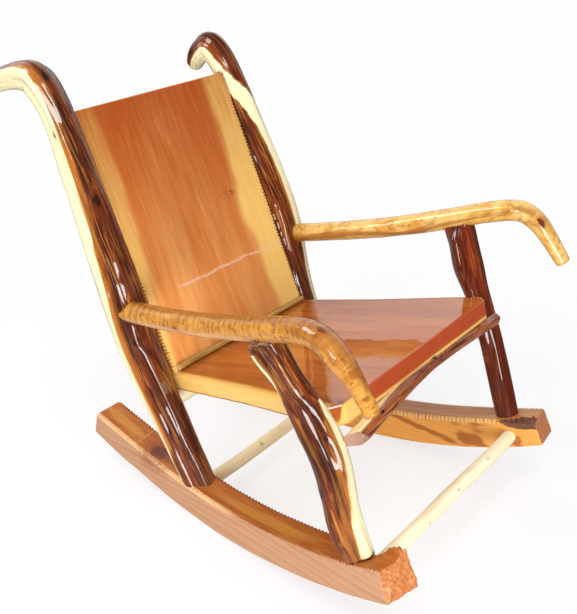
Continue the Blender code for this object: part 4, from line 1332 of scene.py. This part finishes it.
def notch(place: float, pitch: float, seed: float) -> float:
    """How deep a hand-cut notch is at a place along an edge, from 0 to 1."""
    wave = 1.0 - abs(math.cos(math.pi * place / pitch)) ** 0.8
    return wave * (0.85 + 0.5 * rough(seed, 0.3, place / pitch))


@dataclass
class Rockers:
    """The two sawn, curved rockers with notched upper edges."""

    radius: float = 1.27
    front: float = 0.556
    rear: float = 0.388
    width: float = 0.072
    depth: float = 0.081
    front_depth: float = 0.062
    rear_depth: float = 0.052
    toe: float = math.radians(6.5046)
    side: float = 0.25651
    shift: float = -0.02111
    edge: float = 0.0052
    pitch: float = 0.0086
    notch_depth: float = 0.0032
    inner_pitch: float = 0.0105
    inner_notch: float = 0.0048
    torn: float = 0.0040
    skew: float = 0.009
    wane: float = 0.009
    edge_wane: float = 0.028
    side_wane: float = 0.038
    curl: float = 0.015
    board_lean: float = math.radians(-4.1)
    board_height: float = 0.10
    right_warp: Sequence[Sequence[float]] = (
        (0.00, 0.000, -0.003, -0.009, -0.012), (0.08, -0.004, -0.008, -0.007, -0.009),
        (0.20, -0.006, -0.009, -0.004, -0.005), (0.35, -0.003, -0.005, 0.000, -0.001),
        (0.50, 0.000, -0.002, 0.000, 0.000), (0.65, 0.003, 0.000, 0.000, 0.004),
        (0.80, 0.005, 0.000, 0.000, 0.007), (0.92, 0.009, 0.002, 0.000, 0.000),
        (1.00, 0.012, 0.005, 0.000, -0.004))
    gold_spots: Sequence[Sequence[float]] = ((-0.207, 0.150, 0.004, 0.013, 1.0), (0.320, 0.080, 0.0, 0.012, -1.0))
    heart_spots: Sequence[Sequence[float]] = (
        (1.2, -0.397, 0.040, -0.015, 0.25, 0.019), (1.0, -0.514, 0.016, -0.017, 0.0, 0.020))
    right_knots: Sequence[Sequence[float]] = ((0.171, 0.008, 0.036, 0.024), (-0.215, -0.02, 0.036, 0.004))
    left_knots: Sequence[Sequence[float]] = ((-0.05, 0.01, 0.036, 0.006),)
    cuts: tuple[int, int, int] = (13, 13, 640)
    left_notches: Span = (0.085, 0.115)
    pale_notches: Span = (0.40, 0.62)
    wane_front: Span = (0.026, 0.046)
    wane_rear: Span = (0.100, 0.078)
    curl_length: float = 0.06
    curl_start: float = 0.012
    skew_share: float = 0.09
    ragged_share: float = 0.015
    torn_back: float = 0.007
    saw_marks: float = 0.0006
    bark_start: Span = (-0.450, -0.545)
    bark_width: float = 0.028
    bark_slope: float = 0.95
    bark_edge: float = 0.014
    cut_height: float = 0.99
    cut_step: float = 0.02
    crease: float = 35.0

    def build(self, rack: WoodRack) -> None:
        """Model both rockers."""
        for side in Side:
            self._rocker(side, rack)

    def _place(self, side: Side, share: float, across: float, rise: float) -> tuple[Vector, float]:
        """A point of a rocker.

        Args:
            side: Which rocker.
            share: The place along its arc, from 0 at the front to 1 at the rear.
            across: The distance outward from its middle.
            rise: The share of its depth, from 0 below to 1 above.

        Returns:
            The point, and the length of arc from the floor contact.
        """
        first = -math.asin(self.front / self.radius)
        last = math.asin(self.rear / self.radius)
        angle = blend(first, last, share)
        middle = (first + last) / 2
        reach = (angle - middle) / (last - middle)
        depth = blend(self.depth, self.rear_depth if reach > 0 else self.front_depth, reach**4)
        inner = self.radius - depth * rise
        ahead, up = inner * math.sin(angle), self.radius - inner * math.cos(angle)
        turn = side.value * self.toe
        run = Vector((-math.sin(turn), math.cos(turn), 0.0))
        out = side.value * Vector((math.cos(turn), math.sin(turn), 0.0))
        start = Vector((side.value * self.side, self.shift, 0.0))
        up += self._warp(side, share, across, rise)
        return start + run * ahead + out * across + UP * up, angle * self.radius

    def _warp(self, side: Side, share: float, across: float, rise: float) -> float:
        """How high the right rocker's sawn sides stand off a plain arc.

        Args:
            side: Which rocker.
            share: The place along its arc, from 0 at the front to 1 at the rear.
            across: The distance outward from its middle.
            rise: The share of its depth, from 0 below to 1 above.

        Returns:
            The difference in height.
        """
        if side is Side.LEFT:
            return 0.0
        inner_top, outer_top, inner_low, outer_low = along(self.right_warp, share)
        outer = across / self.width + 0.5
        return blend(blend(inner_low, outer_low, outer), blend(inner_top, outer_top, outer), rise)

    def _board(self, side: Side, point: Vector, across: float) -> Vector:
        """The place of a point in the straight board a rocker was sawn from.

        Args:
            side: Which rocker.
            point: A point of the rocker.
            across: The distance outward from its middle.

        Returns:
            The place, z along the board.
        """
        turn, lean = side.value * self.toe, self.board_lean
        ahead = (point.y - self.shift) * math.cos(turn) - (point.x - side.value * self.side) * math.sin(turn)
        height = point.z * math.cos(lean) - ahead * math.sin(lean) - self.board_height
        apart = 0.3 if side is Side.LEFT else 0.0
        return Vector((across, height, ahead * math.cos(lean) + point.z * math.sin(lean) + apart))

    def _waned(self, across: float, rise: float, where: float) -> tuple[float, float, bool]:
        """Take the bark edge off the right rocker's inner corner, in front of the post.

        Args:
            across: The distance outward from the rocker's middle.
            rise: The height above its middle.
            where: The distance from its front end.

        Returns:
            The place moved onto the bark's surface, and whether it was moved.
        """
        torn = where + 0.012 * rough(across * 70.0, rise * 55.0, where * 30.0)
        share = fade(*self.wane_front, torn) * fade(*self.wane_rear, torn)
        if share < 0.05:
            return across, rise, False
        wide, deep = self.edge_wane * share, self.side_wane * share
        short = 1.0 - (across + self.width / 2) / wide - (self.depth / 2 - rise) / deep
        if short <= 0.0:
            return across, rise, False
        slant = math.hypot(wide, deep)
        move = short * wide * deep / slant + 0.0015 * rough(across * 150.0, rise * 90.0, where * 140.0)
        return across + move * deep / slant, rise - move * wide / slant, True

    def top_cut(self, side: Side, place: float) -> Plane:
        """The plane of a rocker's upper side.

        Args:
            side: Which rocker.
            place: The place along the chair, in y.

        Returns:
            A point of the plane just under the surface, and the direction down from it.
        """
        share = (place - self.shift + self.front) / (self.front + self.rear)
        here, _ = self._place(side, share, 0.0, self.cut_height)
        ahead, _ = self._place(side, share + self.cut_step, 0.0, self.cut_height)
        out, _ = self._place(side, share, self.cut_step, self.cut_height)
        normal = (ahead - here).cross(out - here).normalized()
        return here, normal if normal.z < 0.0 else -normal

    def _notched(self, side: Side, across: float, rise: float, share: float) -> tuple[float, float, float]:
        """Cut the notches along the upper edges.

        Args:
            side: Which rocker.
            across: The distance outward from its middle.
            rise: The height above its middle.
            share: The place along its arc, from 0 at the front to 1 at the rear.

        Returns:
            The place in the notched surface, and the notch mask, which shows fresh wood on the cut and is darkened as
            painted shade where the notch is deep.
        """
        eased = 1.02 * self.edge
        if abs(across) <= self.width / 2 - eased or rise <= self.depth / 2 - eased:
            return across, rise, 0.0
        inner = across < 0.0
        pitch, deep = (self.inner_pitch, self.inner_notch) if inner else (self.pitch, self.notch_depth)
        hewn = notch(share * (self.front + self.rear), pitch, side.value + math.copysign(2.0, across))
        if side is Side.LEFT and inner:
            hewn *= fade(*self.left_notches, share)
        across -= math.copysign(deep * hewn, across)
        rise -= deep * hewn
        # The mask runs from 0.25 on the eased edge to 1 in the notch: fresh wood on all of it, painted shade in its
        # deep part.
        hewn = 0.25 + 0.75 * hewn
        if side is Side.RIGHT:
            hewn *= 0.0 if across < 0.0 else fade(*self.pale_notches, share)
        return across, rise, hewn

    def _front_end(self, across: float, rise: float, share: float) -> tuple[float, float, float, float, bool]:
        """Skew, wane and tear the right rocker's front end.

        Args:
            across: The distance outward from its middle.
            rise: The height above its middle.
            share: The place along its arc, from 0 at the front to 1 at the rear.

        Returns:
            The three again, how far the corner curls up there, and whether bark shows there.
        """
        length, half = self.front + self.rear, self.width / 2
        where, ragged, tall = share * length, fade(self.ragged_share, 0.0, share), rise / self.depth + 0.5
        raised = self.curl * fade(self.curl_length, 0.0, where) * fade(self.curl_start, -half, across) * tall
        reach = self.skew * (1.0 if across > 0.0 else 1.0 - 1.5 * tall)
        share += reach * across / half * fade(self.skew_share, 0.0, share) / length
        across, rise, waned = self._waned(across, rise, where)
        if ragged > 0.0:
            chip = 1.0 + 0.10 * ragged * rough(across * 60.0, rise * 60.0, 2.0)
            across, rise = across * chip, rise * chip
            torn = rough(across * 70.0, rise * 70.0, 0.5) + 0.5 * rough(across * 190.0, rise * 190.0, 1.5)
            share += (self.torn * torn - self.torn_back) * ragged / length
        return across, rise, share, raised, waned

    def _rocker(self, side: Side, rack: WoodRack) -> None:
        """Model one rocker.

        Args:
            side: Which rocker.
            rack: The finishes.
        """
        length = self.front + self.rear
        shape = plank_blank(self.width, self.depth, length, self.cuts, self.edge)
        marks = Marks(shape)
        mark_ends(shape)
        for vert in shape.verts:
            across, rise, ahead = vert.co
            share = ahead / length + 0.5
            where = share * length
            across, rise, hewn = self._notched(side, across, rise, share)
            raised, waned = 0.0, False
            if side is Side.RIGHT:
                across, rise, share, raised, waned = self._front_end(across, rise, share)
            saw = self.saw_marks * rough(across * 30.0, rise * 30.0, where * 14.0)
            _, arc = self._place(side, share, 0.0, 0.0)
            bark = self._bark(side, across, rise, arc)
            if bark > 0.0:
                hewn = 0.0
                rise -= self.wane * bark * (0.8 + 0.5 * rough(across * 160.0, rise * 90.0, arc * 110.0))
            point, arc = self._place(side, share, across + math.copysign(saw, across), rise / self.depth + 0.5)
            vert.co = point + UP * raised
            sap, stain = self._sapwood(side, across, rise, arc)
            knot = 0.0 if bark > 0.12 or waned else self._knots(side, across, rise, arc)
            marks.write(vert, self._board(side, point, across), sap, stain, knot, hewn)
        woods = {
            Side.RIGHT: (rack.ROCKER, rack.ROCKER_END),
            Side.LEFT: (rack.GOLD_ROCKER, rack.LEFT_ROCKER_END),
        }
        finishes = [rack.take(finish) for finish in woods[side]]
        put_in_scene(shape, finishes, side.word + "_rocker", self.crease)

    def _bark(self, side: Side, across: float, rise: float, arc: float) -> float:
        """How deep the left rocker's barky corner is missing at a place, from 0 to 1.

        Args:
            side: Which rocker.
            across: The distance outward from its middle.
            rise: The height above its middle.
            arc: The length of arc from the floor contact.

        Returns:
            The share.
        """
        reach = self.bark_width * fade(*self.bark_start, arc)
        if side is Side.RIGHT or rise < 0.2 * self.depth or reach <= 0.0:
            return 0.0
        far = across + self.width / 2 + self.bark_slope * (self.depth / 2 - rise)
        return fade(0.0, self.bark_edge, reach - far + 0.004 * rough(arc * 90.0, rise * 60.0, 0.0))

    def _sapwood(self, side: Side, across: float, rise: float, arc: float) -> tuple[float, float]:
        """Where the sawn sides cut other wood.

        Args:
            side: Which rocker.
            across: The distance outward from its middle.
            rise: The height above its middle.
            arc: The length of arc from the floor contact.

        Returns:
            How far inside sapwood the place lies, and how far inside a brown patch of heart.
        """
        drift = 0.004 * rough(arc * 5.0, side.value, 0.0)
        if side is Side.RIGHT:
            gold = max(
                1.0 - math.hypot((arc - at) / long, (across - middle - way * drift) / wide)
                for at, long, middle, wide, way in self.gold_spots)
            return (across - 0.0325 + drift) / 0.005, 1.3 * gold if rise > 0.4 * self.depth else -1.0
        streak = 1.0 - abs(rise - 0.020 - 0.325 * (arc + 0.22)) / 0.010
        heart = streak * fade(-0.36, -0.30, arc) * fade(-0.10, -0.20, arc)
        for most, at, long, middle, slope, wide in self.heart_spots:
            heart = max(heart, most - math.hypot((arc - at) / long, (rise - middle - slope * (arc - at)) / wide))
        inner = -(across + 0.030 + drift) / 0.006
        patch = 1.4 * heart + 0.5 * rough(arc * 30.0, rise * 60.0, 4.0) - 0.3
        return inner, patch if inner > 0.0 else -1.0

    def _knots(self, side: Side, across: float, rise: float, arc: float) -> float:
        """Distance from the nearest knot, in knot sizes."""
        knots = self.right_knots if side is Side.RIGHT else self.left_knots
        return min(math.hypot((arc - a) / 1.4, across - b, rise - c) / size for a, b, c, size in knots)


@dataclass
class BackPlank:
    """The raked back plank with notched side edges."""

    foot: Vector = field(default_factory=lambda: Vector((0.0, 0.08489, 0.32322)))
    rake: float = math.radians(25.0)
    height: float = 0.602
    top_width: float = 0.475
    foot_width: float = 0.462
    thickness: float = 0.028
    edge: float = 0.0018
    pitch: float = 0.0082
    notch_depth: float = 0.0065
    left_sap: Sequence[Span] = (
        (0.0, 0.150), (0.06, 0.148), (0.13, 0.146), (0.19, 0.146), (0.26, 0.130), (0.35, 0.146), (0.45, 0.156),
        (0.60, 0.150))
    right_sap: Sequence[Span] = (
        (0.0, 0.222), (0.10, 0.215), (0.28, 0.196), (0.43, 0.182), (0.60, 0.184))
    right_sap_most: float = 0.42
    sap_edge: float = 0.016
    sap_drift: float = 0.007
    sap_shade: float = 0.38
    stain_middle: float = 0.355
    stain_reach: float = 0.44
    foot_sink: float = 0.004
    top_edge: Span = (0.0045, 0.0015)
    cuts: tuple[int, int, int] = (47, 2, 400)
    crease: float = 40.0

    def build(self, rack: WoodRack) -> None:
        """Model the plank.

        Args:
            rack: The finishes.
        """
        shape = plank_blank(self.top_width, self.thickness, self.height, self.cuts, self.edge)
        marks = Marks(shape)
        mark_ends(shape)
        rise = Vector((0.0, math.sin(self.rake), math.cos(self.rake)))
        back = Vector((0.0, math.cos(self.rake), -math.sin(self.rake)))
        for vert in shape.verts:
            across, deep, high = vert.co
            high += self.height / 2
            near = abs(across) - self.top_width / 2 + 2.2 * self.edge
            across *= blend(self.foot_width, self.top_width, high / self.height) / self.top_width
            hewn = 0.0
            if near > 0.0:
                hewn = notch(high, self.pitch, math.copysign(4.0, across)) * fade(0.0, self.edge, near)
                across -= math.copysign(self.notch_depth * hewn, across)
            sunk = high if high > self.foot_sink else high - self.foot_sink
            vert.co = self.foot + Vector((across, 0.0, 0.0)) + rise * sunk + back * (deep + self.thickness / 2)
            sap = self._sapwood(across, high)
            stain = (high - self.stain_middle) / self.stain_reach - self.sap_shade * limit(sap)
            # The notch mask is also set along the top edge, which darkens a thin line just under it.
            hewn = max(hewn, 1.1 * fade(*(self.height - below for below in self.top_edge), high))
            marks.write(vert, Vector((across, deep, high)), sap, stain, NO_KNOT, hewn)
        finishes = [rack.take(rack.BACK), rack.take(rack.PLANK_END)]
        put_in_scene(shape, finishes, "back_panel", self.crease)

    def _sapwood(self, across: float, high: float) -> float:
        """Golden sapwood along both side edges.

        Args:
            across: The distance from the plank's middle.
            high: The height up the plank.

        Returns:
            How far inside sapwood the place lies, from -1 to 1.
        """
        drift = self.sap_drift * rough(high * 14.0, math.copysign(1.0, across), 0.0)
        if across > 0.0:
            return (across - along(self.left_sap, high)[0] - drift) / self.sap_edge
        return min((-across - along(self.right_sap, high)[0] - drift) / self.sap_edge, self.right_sap_most)


@dataclass
class Seat:
    """The tilted seat plank: clipped front corners, a live edge on the right and a notched one on the left."""

    front_edge: Vector = field(default_factory=lambda: Vector((0.0, -0.39911, 0.452)))
    tilt: float = math.radians(14.9)
    depth: float = 0.525
    front_width: float = 0.596
    rear_width: float = 0.462
    thickness: float = 0.044
    corner: float = 0.022
    edge: float = 0.0035
    wane: float = 0.004
    pitch: float = 0.0090
    notch_depth: float = 0.0026
    roll: float = 0.010
    ripple: float = 0.00012
    live: float = 0.985
    rounded: float = 0.93
    undercut: float = 0.004
    knot_place: Span = (-0.272, 0.0113)
    knot_size: float = 0.005
    cuts: tuple[int, int, int] = (70, 14, 200)
    crease: float = 35.0

    def build(self, rack: WoodRack) -> None:
        """Model the plank.

        Args:
            rack: The finishes.
        """
        shape = plank_blank(self.front_width, self.thickness, self.depth, self.cuts, self.edge)
        marks = Marks(shape)
        lean = Vector((0.0, math.cos(self.tilt), -math.sin(self.tilt)))
        up = Vector((0.0, math.sin(self.tilt), math.cos(self.tilt)))
        for vert in shape.verts:
            across, rise, back = vert.co
            back += self.depth / 2
            share = limit((back - self.corner) / (self.depth - self.corner))
            half = blend(self.front_width, self.rear_width, share) / 2
            half += self.wane * math.sin(math.pi * share) * math.cos(5.0 * share + 0.6)
            half -= max(self.corner - back, 0.0)
            ratio = across / (self.front_width / 2)
            across = ratio * half
            low = 0.5 - rise / self.thickness
            roll = fade(-self.rounded, -1.0, ratio) * fade(0.0, 0.06, back)
            rise -= self.roll * roll**2 * (1.0 - low)
            if ratio < -self.live:
                across += self.undercut * low + 0.0012 * rough(back * 30.0, low, 1.0)
            hewn = 0.0
            if ratio > self.live:
                hewn = notch(back, self.pitch, 6.0)
                across -= self.notch_depth * hewn
            ripple = self.ripple * rough(across * 24.0, low, back * 30.0)
            point = self.front_edge + Vector((across, 0.0, 0.0)) + lean * back
            vert.co = point + up * (rise - self.thickness / 2 + ripple)
            stain = min((self.edge - back) / 0.004, (0.80 - low) * 9.0) - 2.0 * fade(-0.20, -0.235, across)
            knot = math.hypot(across - self.knot_place[0], back - self.knot_place[1]) / self.knot_size + 2.0 * low
            marks.write(vert, Vector((across, rise, back)), self._sapwood(ratio, low, back), stain, knot, hewn)
        put_in_scene(shape, [rack.take(rack.SEAT)], "seat_board", self.crease)

    def _sapwood(self, ratio: float, low: float, back: float) -> float:
        """Pale sapwood: low on the front edge, along the live edge, and below.

        Args:
            ratio: The place across, from -1 at the right edge to 1 at the left.
            low: The depth below the top, from 0 to 1.
            back: The distance from the front edge.

        Returns:
            How far inside sapwood the place lies, from -1 to 1.
        """
        drift = 0.10 * rough(back * 9.0, ratio * 2.0, 3.0)
        if ratio < -self.rounded and back > 0.02:
            shown = fade(-self.rounded, -self.live, ratio) * (1.0 + 0.5 * low)
            return shown - 0.55 + drift - 2.0 * fade(0.8, 0.95, low)
        under = (low - 0.80 + drift) * 3.0 + 2.4 * fade(0.012, 0.0, back) * fade(-0.70, -0.80, ratio)
        far = (ratio - 0.982) * 70.0 - 2.0 * fade(0.3, 0.6, low)
        return max(under, far)


@dataclass
class CrossPieces:
    """Rails under the seat, stretchers between the rockers, and the batten in the seat's corner."""

    front_rail: Sequence[Station] = (
        (-0.3299, -0.4404, 0.3925, 0.0180),
        (-0.1500, -0.4190, 0.3962, 0.0156),
        (0.0200, -0.4034, 0.3980, 0.0140),
        (0.1800, -0.4022, 0.3940, 0.0142),
        (0.3260, -0.4064, 0.3875, 0.0145),
    )
    rear_rail: Sequence[Station] = (
        (-0.2475, 0.0829, 0.2590, 0.0180), (0.0, 0.0829, 0.2590, 0.0180), (0.2475, 0.0829, 0.2590, 0.0180))
    front_stretcher: Sequence[Station] = (
        (-0.2965, -0.4971, 0.1252, 0.0155), (-0.14, -0.4990, 0.1250, 0.0160), (0.02, -0.4955, 0.1225, 0.0158),
        (0.17, -0.4985, 0.1232, 0.0162), (0.2965, -0.4971, 0.1252, 0.0155))
    rear_stretcher: Sequence[Station] = (
        (-0.2371, 0.0239, 0.0365, 0.0158), (-0.08, 0.0220, 0.0352, 0.0160), (0.09, 0.0255, 0.0350, 0.0160),
        (0.2371, 0.0239, 0.0365, 0.0156))
    batten: Sequence[Station] = (
        (-0.225, 0.0806, 0.3324, 0.0075), (0.0, 0.0806, 0.3324, 0.0075), (0.225, 0.0806, 0.3324, 0.0075))
    rail_saw: Plane = field(default_factory=lambda: (
        Vector((-0.2870, -0.4355, 0.3935)), Vector((-0.56, -0.70, -0.16)).normalized()))
    rail_sap: Ribbon = (
        (0.0, 62.0, 170.0), (0.12, 66.0, 165.0), (0.2, 80.0, 150.0), (0.3, 95.0, 135.0), (0.6, 100.0, 140.0),
        (0.78, 105.0, 130.0))
    rail_knots: Sequence[Knot] = (
        Knot(0.56, 60.0, 0.005, 0.005), Knot(0.89, 70.0, 0.010, 0.006, True), Knot(0.20, 50.0, 0.004, 0.003))
    front_knots: Sequence[Knot] = (
        Knot(0.52, 40.0, 0.0018, 0.0008), Knot(0.75, 60.0, 0.0024, 0.001), Knot(0.3, 20.0, 0.0016, 0.0008))
    rear_knots: Sequence[Knot] = (Knot(0.45, 50.0, 0.0024, 0.001), Knot(0.62, 70.0, 0.0018, 0.0008))

    def build(self, rack: WoodRack) -> None:
        """Model the five pieces.

        Args:
            rack: The finishes.
        """
        Branch(
            "front_seat_rail", self.front_rail, FRONT, UP, "rail_wood", rack.RAIL, rack.RAIL_END,
            ((3, 0.06, 1.1), (5, 0.05, 0.0)), 0.9, 0.10, 0.06, knots=self.rail_knots, ribbons=(self.rail_sap,),
            sides=52, ring=0.0026, seed=41.0, saws=(self.rail_saw,)).build(rack)
        for name, stations, lump, knots, ring, seed in (
            ("rear_seat_rail", self.rear_rail, 0.04, (), 0.004, 47.0),
            ("front_stretcher", self.front_stretcher, 0.05, self.front_knots, 0.0035, 53.0),
            ("rear_stretcher", self.rear_stretcher, 0.05, self.rear_knots, 0.0035, 59.0),
        ):
            Branch(
                name, stations, FRONT, UP, "peeled_wood", rack.STICK, rack.PALE_END, lump=lump, knots=knots,
                sides=44, ring=ring, seed=seed).build(rack)
        Branch(
            "back_batten", self.batten, FRONT, UP, "batten_wood", rack.BATTEN, rack.PALE_END, lump=0.05, flute=0.05,
            sides=28, ring=0.0035, ease=0.001, seed=61.0).build(rack)


@dataclass
class Fasteners:
    """Dowels and screws of the frame, which keep their own shape."""

    steel_word: str = "screw"
    wood_word: str = "dowel"

    def dress(self, rack: WoodRack) -> None:
        """Give every hidden fastener its finish.

        Args:
            rack: The finishes.
        """
        for word, finish in ((self.steel_word, rack.steel), (self.wood_word, rack.dowel)):
            for name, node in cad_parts.items():
                if word in name:
                    node.data.materials.clear()
                    node.data.materials.append(finish)
                    LOG.info("%s: kept, in %s", name, finish.name)


@dataclass
class Lamp:
    """A soft box lamp that isn't in the picture itself, and may be mirrored in the varnish."""

    name: str
    place: Vector
    aim: Vector
    width: float
    height: float
    power: float
    mirrored: bool = True

    def build(self) -> None:
        """Hang the lamp."""
        light = bpy.data.lights.new(self.name, "AREA")
        light.shape = "RECTANGLE"
        light.size = self.width
        light.size_y = self.height
        light.energy = self.power
        hung = bpy.data.objects.new(self.name, light)
        hung.location = self.place
        hung.rotation_euler = (self.aim - self.place).to_track_quat("-Z", "Y").to_euler()
        hung.visible_camera = False
        hung.visible_glossy = self.mirrored
        bpy.context.scene.collection.objects.link(hung)


@dataclass
class Studio:
    """A white studio: floor, white sweep behind the chair, soft boxes and the camera."""

    eye: Vector = field(default_factory=lambda: Vector((-1.5034, -1.2338, 1.3900)))
    pitch: float = math.radians(90.0 - 26.52)
    heading: float = math.radians(-51.85)
    sensor: float = 36.0
    lens: float = 36.0 * 945.0 / 614.0
    floor_size: float = 6.0
    floor_tone: Tone = (0.93, 0.92, 0.93)
    floor_fade: Span = (0.75, 1.6)
    floor_rough: float = 0.6
    white: Tone = (1.0, 0.99, 1.0)
    sweep: Vector = field(default_factory=lambda: Vector((0.75, 0.66, 0.0)))
    room: float = 0.06
    floor_lift: float = 0.74
    floor_mirrored: float = 0.35
    sky: float = 0.43
    middle: Vector = field(default_factory=lambda: Vector((0.0, 0.0, 0.4)))

    def build(self) -> None:
        """Set up everything that isn't the chair."""
        self._floor()
        self._sky()
        for name, place, width, height, power, mirrored in (
            ("strip_lamp", (-1.75, -2.30, 0.50), 1.0, 1.0, 48.0, True),
            ("left_lamp", (-2.95, -0.40, 2.05), 0.8, 0.8, 28.0, True),
            ("low_lamp", (-2.65, 0.20, 0.30), 0.35, 0.45, 3.0, True),
            ("side_lamp", (-1.7, 1.6, 2.5), 1.1, 1.1, 34.0, True),
            ("top_lamp", (-0.6, -1.2, 3.3), 2.2, 2.2, 46.0, False),
            ("rear_lamp", (1.9, 2.5, 2.2), 2.0, 2.0, 36.0, False),
        ):
            Lamp(name, Vector(place), self.middle, width, height, power, mirrored).build()
        scene = bpy.context.scene
        scene.view_settings.view_transform = "Standard"
        camera = bpy.data.cameras.new("photo_camera")
        camera.lens = self.lens
        camera.sensor_width = self.sensor
        stand = bpy.data.objects.new("photo_camera", camera)
        stand.location = self.eye
        stand.rotation_euler = (self.pitch, 0.0, self.heading)
        scene.collection.objects.link(stand)
        scene.camera = stand

    def _floor(self) -> None:
        """Lay a plain pale floor that runs out into the white of the sweep."""
        shape = bmesh.new()
        bmesh.ops.create_grid(shape, x_segments=2, y_segments=2, size=self.floor_size / 2)
        mesh = bpy.data.meshes.new("studio_floor")
        shape.to_mesh(mesh)
        shape.free()
        made, sheet = blank_finish("studio_floor")
        path = sheet.node("ShaderNodeLightPath").outputs
        dim = tuple(self.floor_mirrored * value for value in self.floor_tone)
        shader = sheet.node("ShaderNodeBsdfPrincipled", sheet.mix(path["Is Glossy Ray"], self.floor_tone, dim))
        shader.inputs["Roughness"].default_value = self.floor_rough
        glow = sheet.node("ShaderNodeEmission", self.white)
        lift = sheet.times(path["Is Camera Ray"], self.floor_lift)
        lit = sheet.node("ShaderNodeMixShader", lift, shader.outputs[0], glow.outputs[0])
        clear = sheet.node("ShaderNodeBsdfTransparent")
        reach = sheet.length(sheet.node("ShaderNodeTexCoord").outputs["Object"])
        gone = sheet.step(reach, *self.floor_fade)
        sheet.close(sheet.node("ShaderNodeMixShader", gone, lit.outputs[0], clear.outputs[0]).outputs[0])
        mesh.materials.append(made)
        floor = bpy.data.objects.new("studio_floor", mesh)
        bpy.context.scene.collection.objects.link(floor)

    def _sky(self) -> None:
        """Light from all round: white where it is seen, and mirrored as a white sweep in a dim room."""
        world = bpy.data.worlds.new("studio")
        bpy.context.scene.world = world
        world.use_nodes = True
        sheet = NodeSheet(world.node_tree)
        path = sheet.node("ShaderNodeLightPath").outputs
        way = sheet.node("ShaderNodeTexCoord").outputs["Generated"]
        toward = sheet.node("ShaderNodeVectorMath", way, tuple(self.sweep), operation="DOT_PRODUCT").outputs["Value"]
        rise = sheet.node("ShaderNodeSeparateXYZ", way).outputs["Z"]
        sweep = sheet.times(sheet.step(toward, 0.15, 0.6), sheet.step(rise, 0.0, 0.2))
        glossy = sheet.times(path["Is Glossy Ray"], sheet.line(sweep, 1.0 - self.room, self.room))
        seen = sheet.math("MAXIMUM", path["Is Camera Ray"], path["Is Transmission Ray"])
        other = sheet.math("SUBTRACT", 1.0, sheet.math("MAXIMUM", seen, path["Is Glossy Ray"]))
        strength = sheet.plus(sheet.math("MAXIMUM", seen, glossy), sheet.times(other, self.sky))
        sheet.close(sheet.node("ShaderNodeBackground", self.white, strength).outputs[0], "World")


def main() -> None:
    """Build the chair's looks piece by piece, then the studio."""
    logging.basicConfig(level=logging.INFO, format="%(name)s: %(message)s")
    rack = WoodRack()
    for assembly in (Rockers(), BackPosts(), FrontPosts(), Arms(), BackPlank(), Seat(), CrossPieces()):
        assembly.build(rack)
        LOG.info("%s done", type(assembly).__name__)
    Fasteners().dress(rack)
    Studio().build()


if __name__ == "__main__":
    main()
